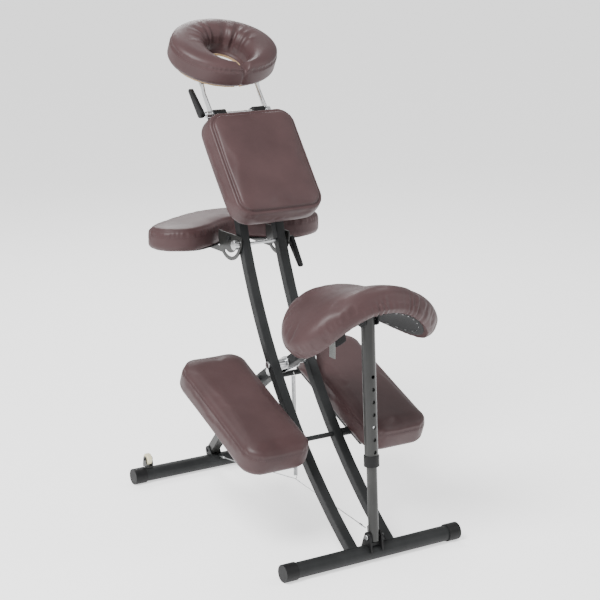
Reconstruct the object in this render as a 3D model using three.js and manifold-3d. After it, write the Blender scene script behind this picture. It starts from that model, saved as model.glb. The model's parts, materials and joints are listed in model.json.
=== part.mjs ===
// Kneeling massage chair: a folding steel frame that carries a saddle seat, two knee pads, a chest
// pad, an armrest and a face cradle. The sitter kneels facing +Y, so -Y is the back of the chair.
// Units are millimetres, +Z is up, and X runs across the chair.
import * as THREE from "three";
import { mergeVertices } from "three/addons/utils/BufferGeometryUtils.js";
import Module from "manifold-3d";

const wasm = await Module();
wasm.setup();

// ---- Clearances ----
const GAP = 0.4; // between two pieces that touch
const RUNNING = 0.3; // radial play of a bolt or rod in its hole
const OPEN_PLAY = 1.8; // radial play at the one pivot where the seat linkage is opened

// ---- Foot bars ----
const FOOT_LENGTH = 500; // over the end caps
const FOOT_RADIUS = 19;
const FOOT_WALL = 2;
const CAP_RADIUS = 21.5;
const CAP_LENGTH = 34;
const CAP_END = 4; // thickness of the closed end
const CAP_FLAT = 0.5; // depth of the flat that the cap stands on
const SPREAD = 760; // rear bar to front bar, open
const FOOT_Z = CAP_RADIUS - CAP_FLAT;

// ---- Curved rails ----
const RAIL_WIDTH = 25;
const RAIL_WALL = 1.5;
const RAIL_SPACING = 105; // centre to centre
const RAIL_BOW = 1352.5; // radius of the centre line
const RAIL_START = 34.7; // slope at the foot, degrees
const RAIL_SWEEP = 40.6; // degrees of arc from foot to top
const RAIL_SETBACK = -5; // the arc starts this far behind the rear bar's axis
const CORNER = 3; // outside corner radius of square tube

// ---- Crossing pivot, where the leg and the seat bar meet the rails ----
const CROSSING_TURN = 22.6; // degrees along the rails' arc
const CROSSING_BOLT = 5; // radius
const FORK_PLATE = 3;
const BAR_WIDTH = 30; // seat bar and leg, across
const BAR_DEPTH = 25;

// ---- Front leg ----
const LEG_WALL = 2;
const LEG_SLOPE = 48; // degrees, straight lower end
const LEG_FOOT_Y = 18; // the leg lands this far in front of the front bar's axis
const LEG_FOOT_Z = 42;
const LEG_STRAIGHT = 200;
const LEG_SHOWN = 95; // bare inner tube below the outer one
const LEG_OVERLAP = 60; // inner tube inside the outer one
const LEG_INNER = 25;
const FORK_REACH = 62; // crossing bolt to the end of the outer tube
const KNEE_REST_REACH = 150; // crossing bolt to the knee rest
const KNEE_REST_RADIUS = 7.5;
const KNEE_REST_LENGTH = 250;
const SNAP_RADIUS = 4;
const SNAP_SHOWN = 0.4; // how far a snap button stands out of the inner tube
const SNAP_PLAY = 0.5;
const LEG_NOTCH = 42;

// ---- Wheels on the front bar ----
const WHEEL_RADIUS = 15;
const WHEEL_WIDTH = 14;
const WHEEL_X = 203;
const WHEEL_LIFT = 22; // axle above the top of the bar

// ---- Seat post ----
const POST_BASE = { y: -5, z: 62 };
const POST_TOP = { y: 29, z: 583 };
const POST_RADIUS = 16.3;
const POST_WALL = 2.8;
const POST_INNER = POST_RADIUS - POST_WALL - 1; // radius of the tube that slides inside
const POST_INNER_TOP = 360; // length of the lower tube above its pivot
const COLLAR_LOW = 172; // collar above the base pivot
const COLLAR_HEIGHT = 27;
const COLLAR_WALL = 1.8;
const NOTCHES = 7;
const NOTCH_PITCH = 30.2;
const NOTCH_MIDDLE = 298.6; // middle hole above the base pivot
const NOTCH_USED = -1; // the snap button sits one hole below the middle

// ---- Seat ----
const SEAT_BAR_END = { y: POST_TOP.y + 58, z: POST_TOP.z - 11 };
const SEAT = { y: 95, z: 645, pitch: -10, width: 428, length: 280, pad: 46, board: 9.5, arch: 113 };
const STRAP_Y = 205; // the strap hangs from the seat bar here
const SEAT_TAPER = 0.24; // how much narrower the seat's front is than its back

// ---- Knee pads ----
const KNEE_CLEAR = 16; // rail to knee pad
const KNEE = { y: 297.3, z: 340.2, pitch: 22.5, width: 180, length: 394, pad: 50, board: 9.5 };
const KNEE_TUBE = 20;
const KNEE_TUBE_X = 105;
const KNEE_AXLE_BACK = 94.4; // axle behind the pad's middle, along the pad
const KNEE_AXLE_RADIUS = 6;
const KNEE_AXLE_LENGTH = 252;

// ---- Armrest ----
const ARM = { y: 700, z: 718, pad: 45, board: 9.5 };
const ARM_PIVOT = { y: 541, z: 692 };
const ARM_CLAMP_TURN = 35.8; // degrees along the rails' arc
const QUADRANT_RADIUS = 57;
const SLOT_HALF = 5;
const QUADRANT_PLATE = 3;
const HANGER_PLATE = 3;

// ---- Chest pad ----
const CHEST = { y: 476.5, z: 894, pitch: 52.8, width: 254, length: 296, pad: 48, board: 9.5 };
const CHEST_PIVOT_TURN = 39.5; // degrees along the rails' arc
const CHEST_ARM = 22;
const RUNG_LOW = { share: -0.176, depth: 8 }; // share of the pad's length from its middle
const RUNG_HIGH = { share: 0.378, depth: 14 };
const CHEST_TOP = { y: 631, z: 978 }; // top end of the arms' centre line

// ---- Face cradle ----
const CRADLE = { y: 678, z: 1165, pitch: 27.7, width: 291, length: 238, pad: 58, board: 9.5 };
const CRADLE_PIVOT = { y: 612, z: 997 };
const CRADLE_ROD = 4; // radius
const CRADLE_LEVER_OUT = 14; // the lever stands this far out from the strut, on a sleeve
const STRUT_X = 80;
const STRUT_PLATE = 3;
const BLOCK_WIDTH = 32;
const BLOCK_X = 57;
const FACE_HOLE = { width: 104, length: 116, forward: -12, slit: 9 };
const BASE_INSET = 20; // the plywood ring's outer edge, inside the cushion's

// ---- Cam levers ----
const LEVER_LENGTH = 76;
const LEVER_WIDE = 22;
const LEVER_NARROW = 12;
const LEVER_THICK = 12;

// ---- Safety cable and its spring ----
const CABLE_RADIUS = 1.3;
const SPRING_RADIUS = 4;
// Points on the cable: share of the way from front to rear, and height above the straight line.
const CABLE_LIFT = [
  [0, 0],
  [0.162, 9.5],
  [0.379, 26],
  [0.509, 35.7],
  [0.556, 38.6],
  [0.604, 34.5],
  [0.754, 21.4],
  [0.899, 9.4],
  [1, 0],
];

const STEEL = { color: 0x34383a, roughness: 0.45, metalness: 0.6 };
const GREY_STEEL = { color: 0x77797a, roughness: 0.4, metalness: 0.7 };
const ZINC = { color: 0xb9bcbd, roughness: 0.3, metalness: 0.9 };
const BLACK_PLASTIC = { color: 0x1a1b1c, roughness: 0.5, metalness: 0 };
const LEATHER = { color: 0x5c4644, roughness: 0.45, metalness: 0 };
const PLYWOOD = { color: 0xc9a06a, roughness: 0.6, metalness: 0 };
const WEBBING = { color: 0x8b8d8c, roughness: 0.9, metalness: 0 };
const CREAM = { color: 0xd9d3a8, roughness: 0.6, metalness: 0 };

const rad = THREE.MathUtils.degToRad;
const sin = (degrees) => Math.sin(rad(degrees));
const cos = (degrees) => Math.cos(rad(degrees));

const chair = new THREE.Group();

function add(name, geometry, finish) {
  const mesh = new THREE.Mesh(geometry, new THREE.MeshStandardMaterial(finish));
  mesh.name = name;
  chair.add(mesh);
}

// ---- Solids ----

function solidOf(geometry) {
  const plain = geometry.index ? geometry.toNonIndexed() : geometry.clone();
  plain.deleteAttribute("normal");
  plain.deleteAttribute("uv");
  const merged = mergeVertices(plain, 1e-4);
  const vertProperties = new Float32Array(merged.attributes.position.array);
  const triVerts = new Uint32Array(merged.index.array);
  return new wasm.Manifold(new wasm.Mesh({ numProp: 3, vertProperties, triVerts }));
}

function geometryOf(solid) {
  const { vertProperties, triVerts } = solid.getMesh();
  const geometry = new THREE.BufferGeometry();
  geometry.setAttribute("position", new THREE.BufferAttribute(vertProperties, 3));
  geometry.setIndex(new THREE.BufferAttribute(triVerts, 1));
  return geometry;
}

const join = (first, ...rest) =>
  geometryOf(rest.reduce((body, piece) => body.add(solidOf(piece)), solidOf(first)));

const cut = (first, ...tools) =>
  geometryOf(tools.reduce((body, tool) => body.subtract(solidOf(tool)), solidOf(first)));

const common = (a, b) => geometryOf(solidOf(a).intersect(solidOf(b)));

// ---- Simple shapes, placed ----

function box(width, depth, height, x, y, z, pitch = 0) {
  return new THREE.BoxGeometry(width, depth, height).rotateX(rad(pitch)).translate(x, y, z);
}

// A round bar along X, from x0 to x1.
function rodX(radius, x0, x1, at, sides = 16) {
  const bar = new THREE.CylinderGeometry(radius, radius, x1 - x0, sides).rotateZ(Math.PI / 2);
  return bar.translate((x0 + x1) / 2, at.y, at.z);
}

const holeX = (radius, at) => rodX(radius + RUNNING, -150, 150, at, 12);

// A round bar between two points.
function rod(a, b, radius, sides = 12) {
  const along = new THREE.Vector3().subVectors(b, a);
  const bar = new THREE.CylinderGeometry(radius, radius, along.length(), sides);
  const upright = new THREE.Vector3(0, 1, 0);
  const turn = new THREE.Quaternion().setFromUnitVectors(upright, along.clone().normalize());
  return bar.applyQuaternion(turn).translate((a.x + b.x) / 2, (a.y + b.y) / 2, (a.z + b.z) / 2);
}

// A flat outline drawn in Y and Z, made into a plate from x0 to x1.
function plate(shape, x0, x1, curveSegments = 5) {
  const slab = new THREE.ExtrudeGeometry(shape, { depth: x1 - x0, bevelEnabled: false, curveSegments });
  const sideways = new THREE.Matrix4().makeBasis(
    new THREE.Vector3(0, 1, 0),
    new THREE.Vector3(0, 0, 1),
    new THREE.Vector3(1, 0, 0),
  );
  return slab.applyMatrix4(sideways).translate(x0, 0, 0);
}

// The plate that wraps round two discs, such as a link with an eye at each end.
function linkShape(a, b, radiusA, radiusB) {
  const along = Math.atan2(b.z - a.z, b.y - a.y);
  const shape = new THREE.Shape();
  shape.absarc(a.y, a.z, radiusA, along + Math.PI / 2, along - Math.PI / 2, false);
  shape.absarc(b.y, b.z, radiusB, along - Math.PI / 2, along + Math.PI / 2, false);
  shape.closePath();
  return shape;
}

function polygon(points) {
  return new THREE.Shape(points.map(([y, z]) => new THREE.Vector2(y, z)));
}

// ---- Tubes along a path ----

class Arc extends THREE.Curve {
  constructor(x, centre, radius, from, to) {
    super();
    Object.assign(this, { x, centre, radius, from, to });
  }

  getPoint(t) {
    const angle = this.from + (this.to - this.from) * t;
    const y = this.centre.y + this.radius * cos(angle);
    const z = this.centre.z + this.radius * sin(angle);
    return new THREE.Vector3(this.x, y, z);
  }
}

function roundedSquare(width, depth, corner, ShapeClass = THREE.Shape) {
  const [w, d] = [width / 2, depth / 2];
  const shape = new ShapeClass();
  shape.absarc(w - corner, d - corner, corner, 0, Math.PI / 2);
  shape.absarc(corner - w, d - corner, corner, Math.PI / 2, Math.PI);
  shape.absarc(corner - w, corner - d, corner, Math.PI, 1.5 * Math.PI);
  shape.absarc(w - corner, corner - d, corner, 1.5 * Math.PI, 2 * Math.PI);
  return shape;
}

function squareTube(path, width, depth, wall, steps) {
  const section = roundedSquare(width, depth, CORNER);
  if (wall) section.holes.push(roundedSquare(width - 2 * wall, depth - 2 * wall, CORNER - wall, THREE.Path));
  return new THREE.ExtrudeGeometry(section, { extrudePath: path, steps, curveSegments: 1 });
}

function roundTube(a, b, radius, wall, sides = 12) {
  const section = new THREE.Shape().absarc(0, 0, radius, 0, 2 * Math.PI);
  section.holes.push(new THREE.Path().absarc(0, 0, radius - wall, 0, 2 * Math.PI));
  const extrudePath = new THREE.LineCurve3(a, b);
  return new THREE.ExtrudeGeometry(section, { extrudePath, steps: 1, curveSegments: sides });
}

// ---- Cushions ----

// Rings of one outline, shrunk towards its middle, stacked into a closed pad. The top of the rounded
// edge is at z = 0, the middle stands crown above it, and the underside is at z = -thickness.
function cushion(outline, middle, thickness, round, crown, arch = () => 0) {
  const reach = Math.max(...outline.map((p) => p.distanceTo(middle)));
  const inset = (depth) => 1 - depth / reach;
  const rings = [
    [0.45, crown * 0.8],
    [0.8, crown * 0.4],
    [inset(round), 0],
    [inset(round * 0.3), -round * 0.35],
    [1, -round],
    [1, -thickness + round * 0.4],
    ...BOARD_RINGS.map((scale) => [scale, -thickness]).reverse(),
  ];
  return stack(outline, middle, rings, crown, -thickness, arch);
}

// The board under a cushion has the same rings as its underside, so the two faces never cross.
const BOARD_RINGS = [0.35, 0.65, 0.93];

function boardOf(outline, middle, thickness, arch = () => 0) {
  const top = BOARD_RINGS.map((scale) => [scale, 0]);
  const bottom = BOARD_RINGS.map((scale) => [scale, -thickness]).reverse();
  return stack(outline, middle, [...top, ...bottom], 0, -thickness, arch);
}

// A closed solid made from rings of one outline, each given as a scale and a height.
function stack(outline, middle, rings, topHeight, bottomHeight, arch) {
  const count = outline.length;
  const points = [];
  const put = (x, y, z) => points.push(x, y, z + arch(x, y));
  put(middle.x, middle.y, topHeight);
  for (const [scale, z] of rings) {
    for (const p of outline) put(middle.x + (p.x - middle.x) * scale, middle.y + (p.y - middle.y) * scale, z);
  }
  put(middle.x, middle.y, bottomHeight);
  const last = points.length / 3 - 1;
  const faces = [];
  for (let i = 0; i < count; i++) {
    const next = (i + 1) % count;
    faces.push(0, 1 + i, 1 + next);
    for (let r = 0; r < rings.length - 1; r++) {
      const [a, b] = [1 + r * count, 1 + (r + 1) * count];
      const inward = rings[r + 1][0] < rings[r][0];
      if (inward) faces.push(a + i, b + i, a + next, a + next, b + i, b + next);
      else faces.push(a + i, b + i, b + next, a + i, b + next, a + next);
    }
    const bottom = 1 + (rings.length - 1) * count;
    faces.push(bottom + i, last, bottom + next);
  }
  const geometry = new THREE.BufferGeometry();
  geometry.setAttribute("position", new THREE.Float32BufferAttribute(points, 3));
  geometry.setIndex(faces);
  return geometry;
}

function roundedOutline(width, length, corner) {
  return roundedSquare(width, length, corner).getPoints(3).slice(0, -1);
}

function ovalOutline(width, length, power, count = 32) {
  const side = (value, size) => Math.sign(value) * Math.abs(value) ** (2 / power) * (size / 2);
  return Array.from({ length: count }, (_, i) => {
    const turn = (2 * Math.PI * i) / count;
    return new THREE.Vector2(side(Math.cos(turn), width), side(Math.sin(turn), length));
  });
}

// A shape made in a pad's own plane, put where the pad is.
function inPlane(geometry, pad, x = 0) {
  return geometry.rotateX(rad(pad.pitch ?? 0)).translate(x, pad.y, pad.z);
}

// The place in Y and Z of a point in a pad's own plane, at z above the pad's top edge.
function onPad(pad, along, above) {
  const y = pad.y + along * cos(pad.pitch) - above * sin(pad.pitch);
  const z = pad.z + along * sin(pad.pitch) + above * cos(pad.pitch);
  return { y, z };
}

// The cushion and the plywood board under it.
function padAndBoard(name, suffix, pad, outline, middle, round, crown, x, arch, recess) {
  const leather = cushion(outline, middle, pad.pad, round, crown, arch);
  const flat = boardOf(outline, middle, pad.board - GAP, arch).translate(0, 0, -pad.pad - GAP);
  const board = inPlane(flat, pad, x);
  add(name + "_pad" + suffix, inPlane(leather, pad, x), LEATHER);
  add(name + "_board" + suffix, recess ? cut(board, recess) : board, PLYWOOD);
}

const under = (pad) => -pad.pad - pad.board;

// ---- Places that several pieces share ----

const railCentre = {
  y: RAIL_SETBACK - RAIL_BOW * sin(RAIL_START),
  z: FOOT_Z + RAIL_BOW * cos(RAIL_START),
};
const railAngle = (turn) => RAIL_START - 90 + turn;

function onRail(turn, offset = 0) {
  const reach = RAIL_BOW + offset;
  const y = railCentre.y + reach * cos(railAngle(turn));
  const z = railCentre.z + reach * sin(railAngle(turn));
  return { y, z };
}

const crossing = onRail(CROSSING_TURN);
const armClamp = onRail(ARM_CLAMP_TURN);
const chestPivot = onRail(CHEST_PIVOT_TURN);
const frontBar = { y: SPREAD, z: FOOT_Z };
const rearBar = { y: 0, z: FOOT_Z };
const legFoot = { y: SPREAD + LEG_FOOT_Y, z: LEG_FOOT_Z };
const kneeTubeZ = under(KNEE) - GAP - KNEE_TUBE / 2;
const kneeAxle = onPad(KNEE, -KNEE_AXLE_BACK, kneeTubeZ);
const railOutside = (RAIL_SPACING + RAIL_WIDTH) / 2;
const railInside = (RAIL_SPACING - RAIL_WIDTH) / 2;
const kneeX = railOutside + KNEE_CLEAR + KNEE.width / 2;
const SIDES = [["left", -1], ["right", 1]];

// A point on the leg's straight lower end, this far up from its foot.
const upLeg = (distance) => ({
  y: legFoot.y - distance * cos(LEG_SLOPE),
  z: legFoot.z + distance * sin(LEG_SLOPE),
});

const vector = (x, at) => new THREE.Vector3(x, at.y, at.z);

// The span of a piece on one side of the chair, in rising order of x.
const span = (side, near, far) => (side > 0 ? [near, far] : [-far, -near]);

// ---- Foot bars and end caps ----

function footBar(name, at) {
  const half = FOOT_LENGTH / 2 - CAP_END - GAP;
  const tube = roundTube(vector(-half, at), vector(half, at), FOOT_RADIUS, FOOT_WALL);
  add(name, tube, STEEL);
}

function footCap(name, at, side) {
  const inner = FOOT_LENGTH / 2 - CAP_LENGTH;
  const closed = FOOT_LENGTH / 2 - CAP_END;
  const body = rodX(CAP_RADIUS, ...span(side, inner, FOOT_LENGTH / 2), at, 24);
  const socket = rodX(FOOT_RADIUS + GAP, ...span(side, inner - 1, closed), at, 24);
  const flat = box(2 * FOOT_LENGTH, 4 * CAP_RADIUS, CAP_RADIUS, 0, at.y, -CAP_RADIUS / 2);
  add(name, cut(body, socket, flat), BLACK_PLASTIC);
}

// ---- Rails ----

function rail(side) {
  const x = (side * RAIL_SPACING) / 2;
  const path = new Arc(x, railCentre, RAIL_BOW, railAngle(0), railAngle(RAIL_SWEEP));
  const tube = squareTube(path, RAIL_WIDTH, RAIL_WIDTH, RAIL_WALL, 16);
  const hole = (radius, at) => rodX(radius + RUNNING, x - RAIL_WIDTH, x + RAIL_WIDTH, at, 12);
  return cut(
    tube,
    rodX(FOOT_RADIUS + GAP, x - RAIL_WIDTH, x + RAIL_WIDTH, rearBar, 24),
    hole(CROSSING_BOLT, crossing),
    hole(KNEE_AXLE_RADIUS, kneeAxle),
    hole(CRADLE_ROD, armClamp),
    hole(CRADLE_ROD, chestPivot),
  );
}

function railPlug(side) {
  const x = (side * RAIL_SPACING) / 2;
  const tilt = railAngle(RAIL_SWEEP) + 180;
  const top = onRail(RAIL_SWEEP);
  const bore = RAIL_WIDTH - 2 * RAIL_WALL - 4 * GAP;
  const cap = box(RAIL_WIDTH, RAIL_WIDTH, 3, 0, 0, 1.5 + 2 * GAP);
  const stem = box(bore, bore, 12, 0, 0, -5);
  return join(cap, stem).rotateX(rad(tilt - 180)).translate(x, top.y, top.z);
}

// ---- Crossing bolt, knee axle and the cross tube behind the chest pad ----

function bolt(radius, head, half, at, headDepth = 4) {
  const shaft = rodX(radius, -half - headDepth, half + headDepth, at, 16);
  const heads = SIDES.map(([, side]) => rodX(head, ...span(side, half, half + headDepth), at, 6));
  return join(shaft, ...heads);
}

function crossingBolt() {
  const inner = BAR_WIDTH / 2 + 2 * GAP + FORK_PLATE;
  const spacers = SIDES.map(([, side]) => rodX(9, ...span(side, inner, railInside - GAP), crossing));
  return join(bolt(CROSSING_BOLT, 9, railOutside + GAP, crossing, 5), ...spacers);
}

// ---- Front leg ----

// The outer tube bows down from the crossing into a straight lower end, and a bar welded through it
// carries the knee pads.
function legPath() {
  const bend = upLeg(LEG_STRAIGHT);
  const chord = Math.hypot(bend.y - crossing.y, bend.z - crossing.z);
  const chordSlope = THREE.MathUtils.radToDeg(Math.atan2(crossing.z - bend.z, bend.y - crossing.y));
  const half = LEG_SLOPE - chordSlope;
  const radius = chord / 2 / sin(half);
  const centre = { y: bend.y - radius * sin(LEG_SLOPE), z: bend.z - radius * cos(LEG_SLOPE) };
  const end = 90 - LEG_SLOPE;
  return { centre, radius, end, start: end + 2 * half };
}

function alongBow(reach) {
  const bow = legPath();
  const turn = THREE.MathUtils.radToDeg(reach / bow.radius);
  const angle = bow.start - turn;
  return { y: bow.centre.y + bow.radius * cos(angle), z: bow.centre.z + bow.radius * sin(angle), angle };
}

const kneeRest = alongBow(KNEE_REST_REACH);

function legTube() {
  const bow = legPath();
  const from = alongBow(FORK_REACH).angle;
  const curve = new Arc(0, bow.centre, bow.radius, from, bow.end);
  const straight = new THREE.LineCurve3(vector(0, upLeg(LEG_STRAIGHT + 0.5)), vector(0, upLeg(LEG_SHOWN)));
  const bent = squareTube(curve, BAR_WIDTH, BAR_WIDTH, LEG_WALL, 10);
  const lower = squareTube(straight, BAR_WIDTH, BAR_WIDTH, LEG_WALL, 1);
  const snapHole = rodX(SNAP_RADIUS + SNAP_PLAY, 0, BAR_WIDTH, upLeg(LEG_SHOWN + LEG_OVERLAP / 2), 16);
  const half = KNEE_REST_LENGTH / 2;
  return join(cut(join(bent, lower), snapHole), rodX(KNEE_REST_RADIUS, -half, half, kneeRest));
}

// Two steel plates that hang the leg on the crossing bolt, welded to a block in the tube's end.
function legFork() {
  const near = alongBow(FORK_REACH + 30);
  const inside = BAR_WIDTH / 2 + GAP;
  const plates = SIDES.map(([, side]) =>
    plate(linkShape(crossing, near, 15, 12), ...span(side, inside, inside + FORK_PLATE)),
  );
  const pitch = -THREE.MathUtils.radToDeg(Math.atan2(crossing.z - near.z, near.y - crossing.y));
  const web = alongBow(FORK_REACH - 14);
  const bridge = box(2 * inside + 1, 12, 20, 0, web.y, web.z, pitch);
  const hole = rodX(CROSSING_BOLT + RUNNING, -BAR_WIDTH, BAR_WIDTH, crossing, 16);
  return cut(join(plates[0], plates[1], bridge), hole);
}

function legExtension() {
  const path = new THREE.LineCurve3(vector(0, upLeg(0)), vector(0, upLeg(LEG_SHOWN + LEG_OVERLAP)));
  const tube = squareTube(path, LEG_INNER, LEG_INNER, LEG_WALL, 1);
  const used = LEG_SHOWN + LEG_OVERLAP / 2;
  const spare = [1, 2].map((step) => rodX(SNAP_RADIUS, 0, LEG_INNER, upLeg(used - LEG_NOTCH * step), 12));
  const snapHole = rodX(SNAP_RADIUS + SNAP_PLAY, 0, LEG_INNER, upLeg(LEG_SHOWN + LEG_OVERLAP / 2), 16);
  const footBolt = rodX(4 + RUNNING, -LEG_INNER, LEG_INNER, upLeg(8), 16);
  return cut(tube, ...spare, snapHole, footBolt, rodX(FOOT_RADIUS + GAP, -50, 50, frontBar, 24));
}

// The snap button sits in the inner tube and shows through the outer one.
function legButton() {
  const at = upLeg(LEG_SHOWN + LEG_OVERLAP / 2);
  return rodX(SNAP_RADIUS, LEG_INNER / 2 - 7, LEG_INNER / 2 + SNAP_SHOWN, at, 16);
}

function legEars() {
  const inside = LEG_INNER / 2 + GAP;
  return SIDES.map(([, side]) => {
    const ear = linkShape({ y: SPREAD, z: FOOT_Z + 8 }, upLeg(10), 15, 12);
    return plate(ear, ...span(side, inside, inside + FORK_PLATE));
  });
}

const cableFront = { y: SPREAD - 24, z: FOOT_Z + 20 };

function frontFootBar() {
  const anchor = plate(linkShape({ y: SPREAD - 8, z: FOOT_Z + 10 }, cableFront, 9, 6), 6, 9);
  const tools = [
    rodX(FOOT_RADIUS - FOOT_WALL, -60, 60, frontBar, 24),
    rodX(4 + RUNNING, -40, 40, upLeg(8), 16),
  ];
  const half = FOOT_LENGTH / 2 - CAP_END - GAP;
  const tube = roundTube(vector(-half, frontBar), vector(half, frontBar), FOOT_RADIUS, FOOT_WALL);
  return cut(join(tube, ...legEars(), anchor), ...tools);
}

// ---- Wheels ----

const wheelAxle = { y: SPREAD + 4, z: FOOT_Z + FOOT_RADIUS + WHEEL_LIFT };

function wheelFork(side) {
  const x = side * WHEEL_X;
  const base = FOOT_Z + FOOT_RADIUS + GAP;
  const half = WHEEL_WIDTH / 2 + 1.2;
  const cheek = linkShape({ y: wheelAxle.y, z: base + 7 }, wheelAxle, 11, 8);
  const floor = box(2 * half + 4, 22, 2.5, x, wheelAxle.y, base + 1.25);
  const cheeks = [-1, 1].map((s) => {
    const [x0, x1] = span(s, half, half + 2);
    return common(plate(cheek, x + x0, x + x1), box(60, 60, 60, x, wheelAxle.y, base + 30));
  });
  const axle = rodX(3, x - half - 5, x + half + 5, wheelAxle, 12);
  return join(floor, ...cheeks, axle);
}

function wheel(side) {
  const x = side * WHEEL_X;
  const profile = [
    [3 + RUNNING, -0.5],
    [WHEEL_RADIUS - 2, -0.5],
    [WHEEL_RADIUS, -0.34],
    [WHEEL_RADIUS, 0.34],
    [WHEEL_RADIUS - 2, 0.5],
    [3 + RUNNING, 0.5],
    [3 + RUNNING, -0.5],
  ].map(([r, share]) => new THREE.Vector2(r, share * WHEEL_WIDTH));
  return new THREE.LatheGeometry(profile, 20).rotateZ(-Math.PI / 2).translate(x, wheelAxle.y, wheelAxle.z);
}

// ---- Seat post ----

const postTilt = Math.atan2(POST_TOP.y - POST_BASE.y, POST_TOP.z - POST_BASE.z);
const postLength = Math.hypot(POST_TOP.y - POST_BASE.y, POST_TOP.z - POST_BASE.z);

// Shapes made upright on the base pivot, then leaned as the post leans.
const onPost = (geometry) => geometry.rotateX(-postTilt).translate(0, POST_BASE.y, POST_BASE.z);
const upright = (height) => new THREE.Vector3(0, 0, height);

// A round bar along the chair, in the post's own upright place.
function pinY(radius, y0, y1, height, sides = 16) {
  const pin = new THREE.CylinderGeometry(radius, radius, y1 - y0, sides);
  return pin.translate(0, (y0 + y1) / 2, height);
}

const notchHeight = (index) => NOTCH_MIDDLE + index * NOTCH_PITCH;

function postLower() {
  const tube = roundTube(upright(-11), upright(POST_INNER_TOP), POST_INNER, 1.5);
  const bore = rodX(4 + RUNNING, -30, 30, { y: 0, z: 0 }, 16);
  const snapHole = pinY(SNAP_RADIUS + SNAP_PLAY, -2 * POST_INNER, 0, notchHeight(NOTCH_USED));
  return onPost(cut(tube, bore, snapHole));
}

function postUpper() {
  const low = COLLAR_LOW + 4;
  const tube = roundTube(upright(low), upright(postLength + 8.5), POST_RADIUS, POST_WALL);
  const half = (NOTCHES - 1) / 2;
  const holes = Array.from({ length: NOTCHES }, (_, i) =>
    pinY(SNAP_RADIUS + SNAP_PLAY, -2 * POST_RADIUS, 0, notchHeight(i - half)),
  );
  const pivot = rodX(4 + OPEN_PLAY, -30, 30, { y: 0, z: postLength }, 20);
  return onPost(cut(tube, pivot, ...holes));
}

function postCollar() {
  const outside = POST_RADIUS + GAP + COLLAR_WALL;
  const profile = [
    [POST_INNER + 0.6, COLLAR_LOW],
    [outside, COLLAR_LOW],
    [outside, COLLAR_LOW + COLLAR_HEIGHT],
    [POST_RADIUS + GAP, COLLAR_LOW + COLLAR_HEIGHT],
    [POST_RADIUS + GAP, COLLAR_LOW + 4 - GAP],
    [POST_INNER + 0.6, COLLAR_LOW + 4 - GAP],
    [POST_INNER + 0.6, COLLAR_LOW],
  ].map(([r, z]) => new THREE.Vector2(r, z));
  return onPost(new THREE.LatheGeometry(profile, 24).rotateX(Math.PI / 2));
}

function postButton() {
  return onPost(pinY(SNAP_RADIUS, -POST_INNER, -POST_INNER + 6, notchHeight(NOTCH_USED)));
}

const cableRear = { y: 24, z: FOOT_Z + 52 };

function postClevis() {
  const inside = POST_INNER + 1;
  const ears = SIDES.map(([, side]) =>
    plate(linkShape({ y: 0, z: FOOT_Z }, POST_BASE, 24, 13), ...span(side, inside, inside + 5)),
  );
  const tongue = plate(linkShape({ y: 17, z: FOOT_Z + 20 }, cableRear, 7, 5), 4, 7);
  const saddle = box(2 * inside + 2, 30, 8, 0, 5, FOOT_Z + FOOT_RADIUS + 3);
  const lowered = box(200, 200, 60, 0, 0, FOOT_Z + 6 - 30);
  const postRoom = onPost(rod(upright(-14), upright(60), POST_INNER + 0.9, 24));
  const body = join(ears[0], ears[1], saddle, tongue);
  return cut(body, rodX(FOOT_RADIUS + GAP, -60, 60, rearBar, 24), holeX(4, POST_BASE), postRoom, lowered);
}

// ---- Seat ----

const seatArch = (x) => -SEAT.arch * Math.abs((2 * x) / SEAT.width) ** 2.2;

function seatBar() {
  const end = vector(0, SEAT_BAR_END);
  const along = new THREE.Vector3().subVectors(end, vector(0, crossing)).normalize();
  const eye = vector(0, crossing).addScaledVector(along, -13);
  const tube = squareTube(new THREE.LineCurve3(eye, end), BAR_WIDTH, BAR_DEPTH, LEG_WALL, 1);
  return cut(tube, rodX(CROSSING_BOLT + RUNNING, -30, 30, crossing, 16));
}

const BRACKET = {
  inside: Math.max(POST_RADIUS, BAR_WIDTH / 2) + 1,
  back: POST_TOP.y - 18,
  front: POST_TOP.y + 92,
};

// A flat let into the arched board, where the bracket's roof lies.
function seatRecess() {
  const width = 2 * (BRACKET.inside + FORK_PLATE + GAP);
  const middle = (BRACKET.back + BRACKET.front) / 2 - SEAT.y;
  const length = BRACKET.front - BRACKET.back + 40;
  const flat = box(width, length, 40, 0, middle / cos(SEAT.pitch), under(SEAT) - 20);
  return inPlane(flat, SEAT);
}

function seatBracket() {
  const { inside, back, front } = BRACKET;
  const roof = (y) => SEAT.z + (y - SEAT.y) * Math.tan(rad(SEAT.pitch)) + under(SEAT) / cos(SEAT.pitch);
  const cheek = polygon([
    [back, roof(back) - GAP],
    [back, POST_TOP.z - 8],
    [POST_TOP.y - 8, POST_TOP.z - 13],
    [POST_TOP.y + 12, POST_TOP.z - 13],
    [POST_TOP.y + 50, POST_TOP.z - 34],
    [front, roof(front) - 24],
    [front, roof(front) - GAP],
  ]);
  const top = polygon([
    [back, roof(back) - GAP],
    [back, roof(back) - 2.4],
    [front, roof(front) - 2.4],
    [front, roof(front) - GAP],
  ]);
  const cheeks = SIDES.map(([, side]) => plate(cheek, ...span(side, inside, inside + FORK_PLATE)));
  const body = join(plate(top, -inside - 1, inside + 1), ...cheeks);
  return cut(body, rodX(4 + RUNNING, -40, 40, POST_TOP, 16));
}

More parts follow.
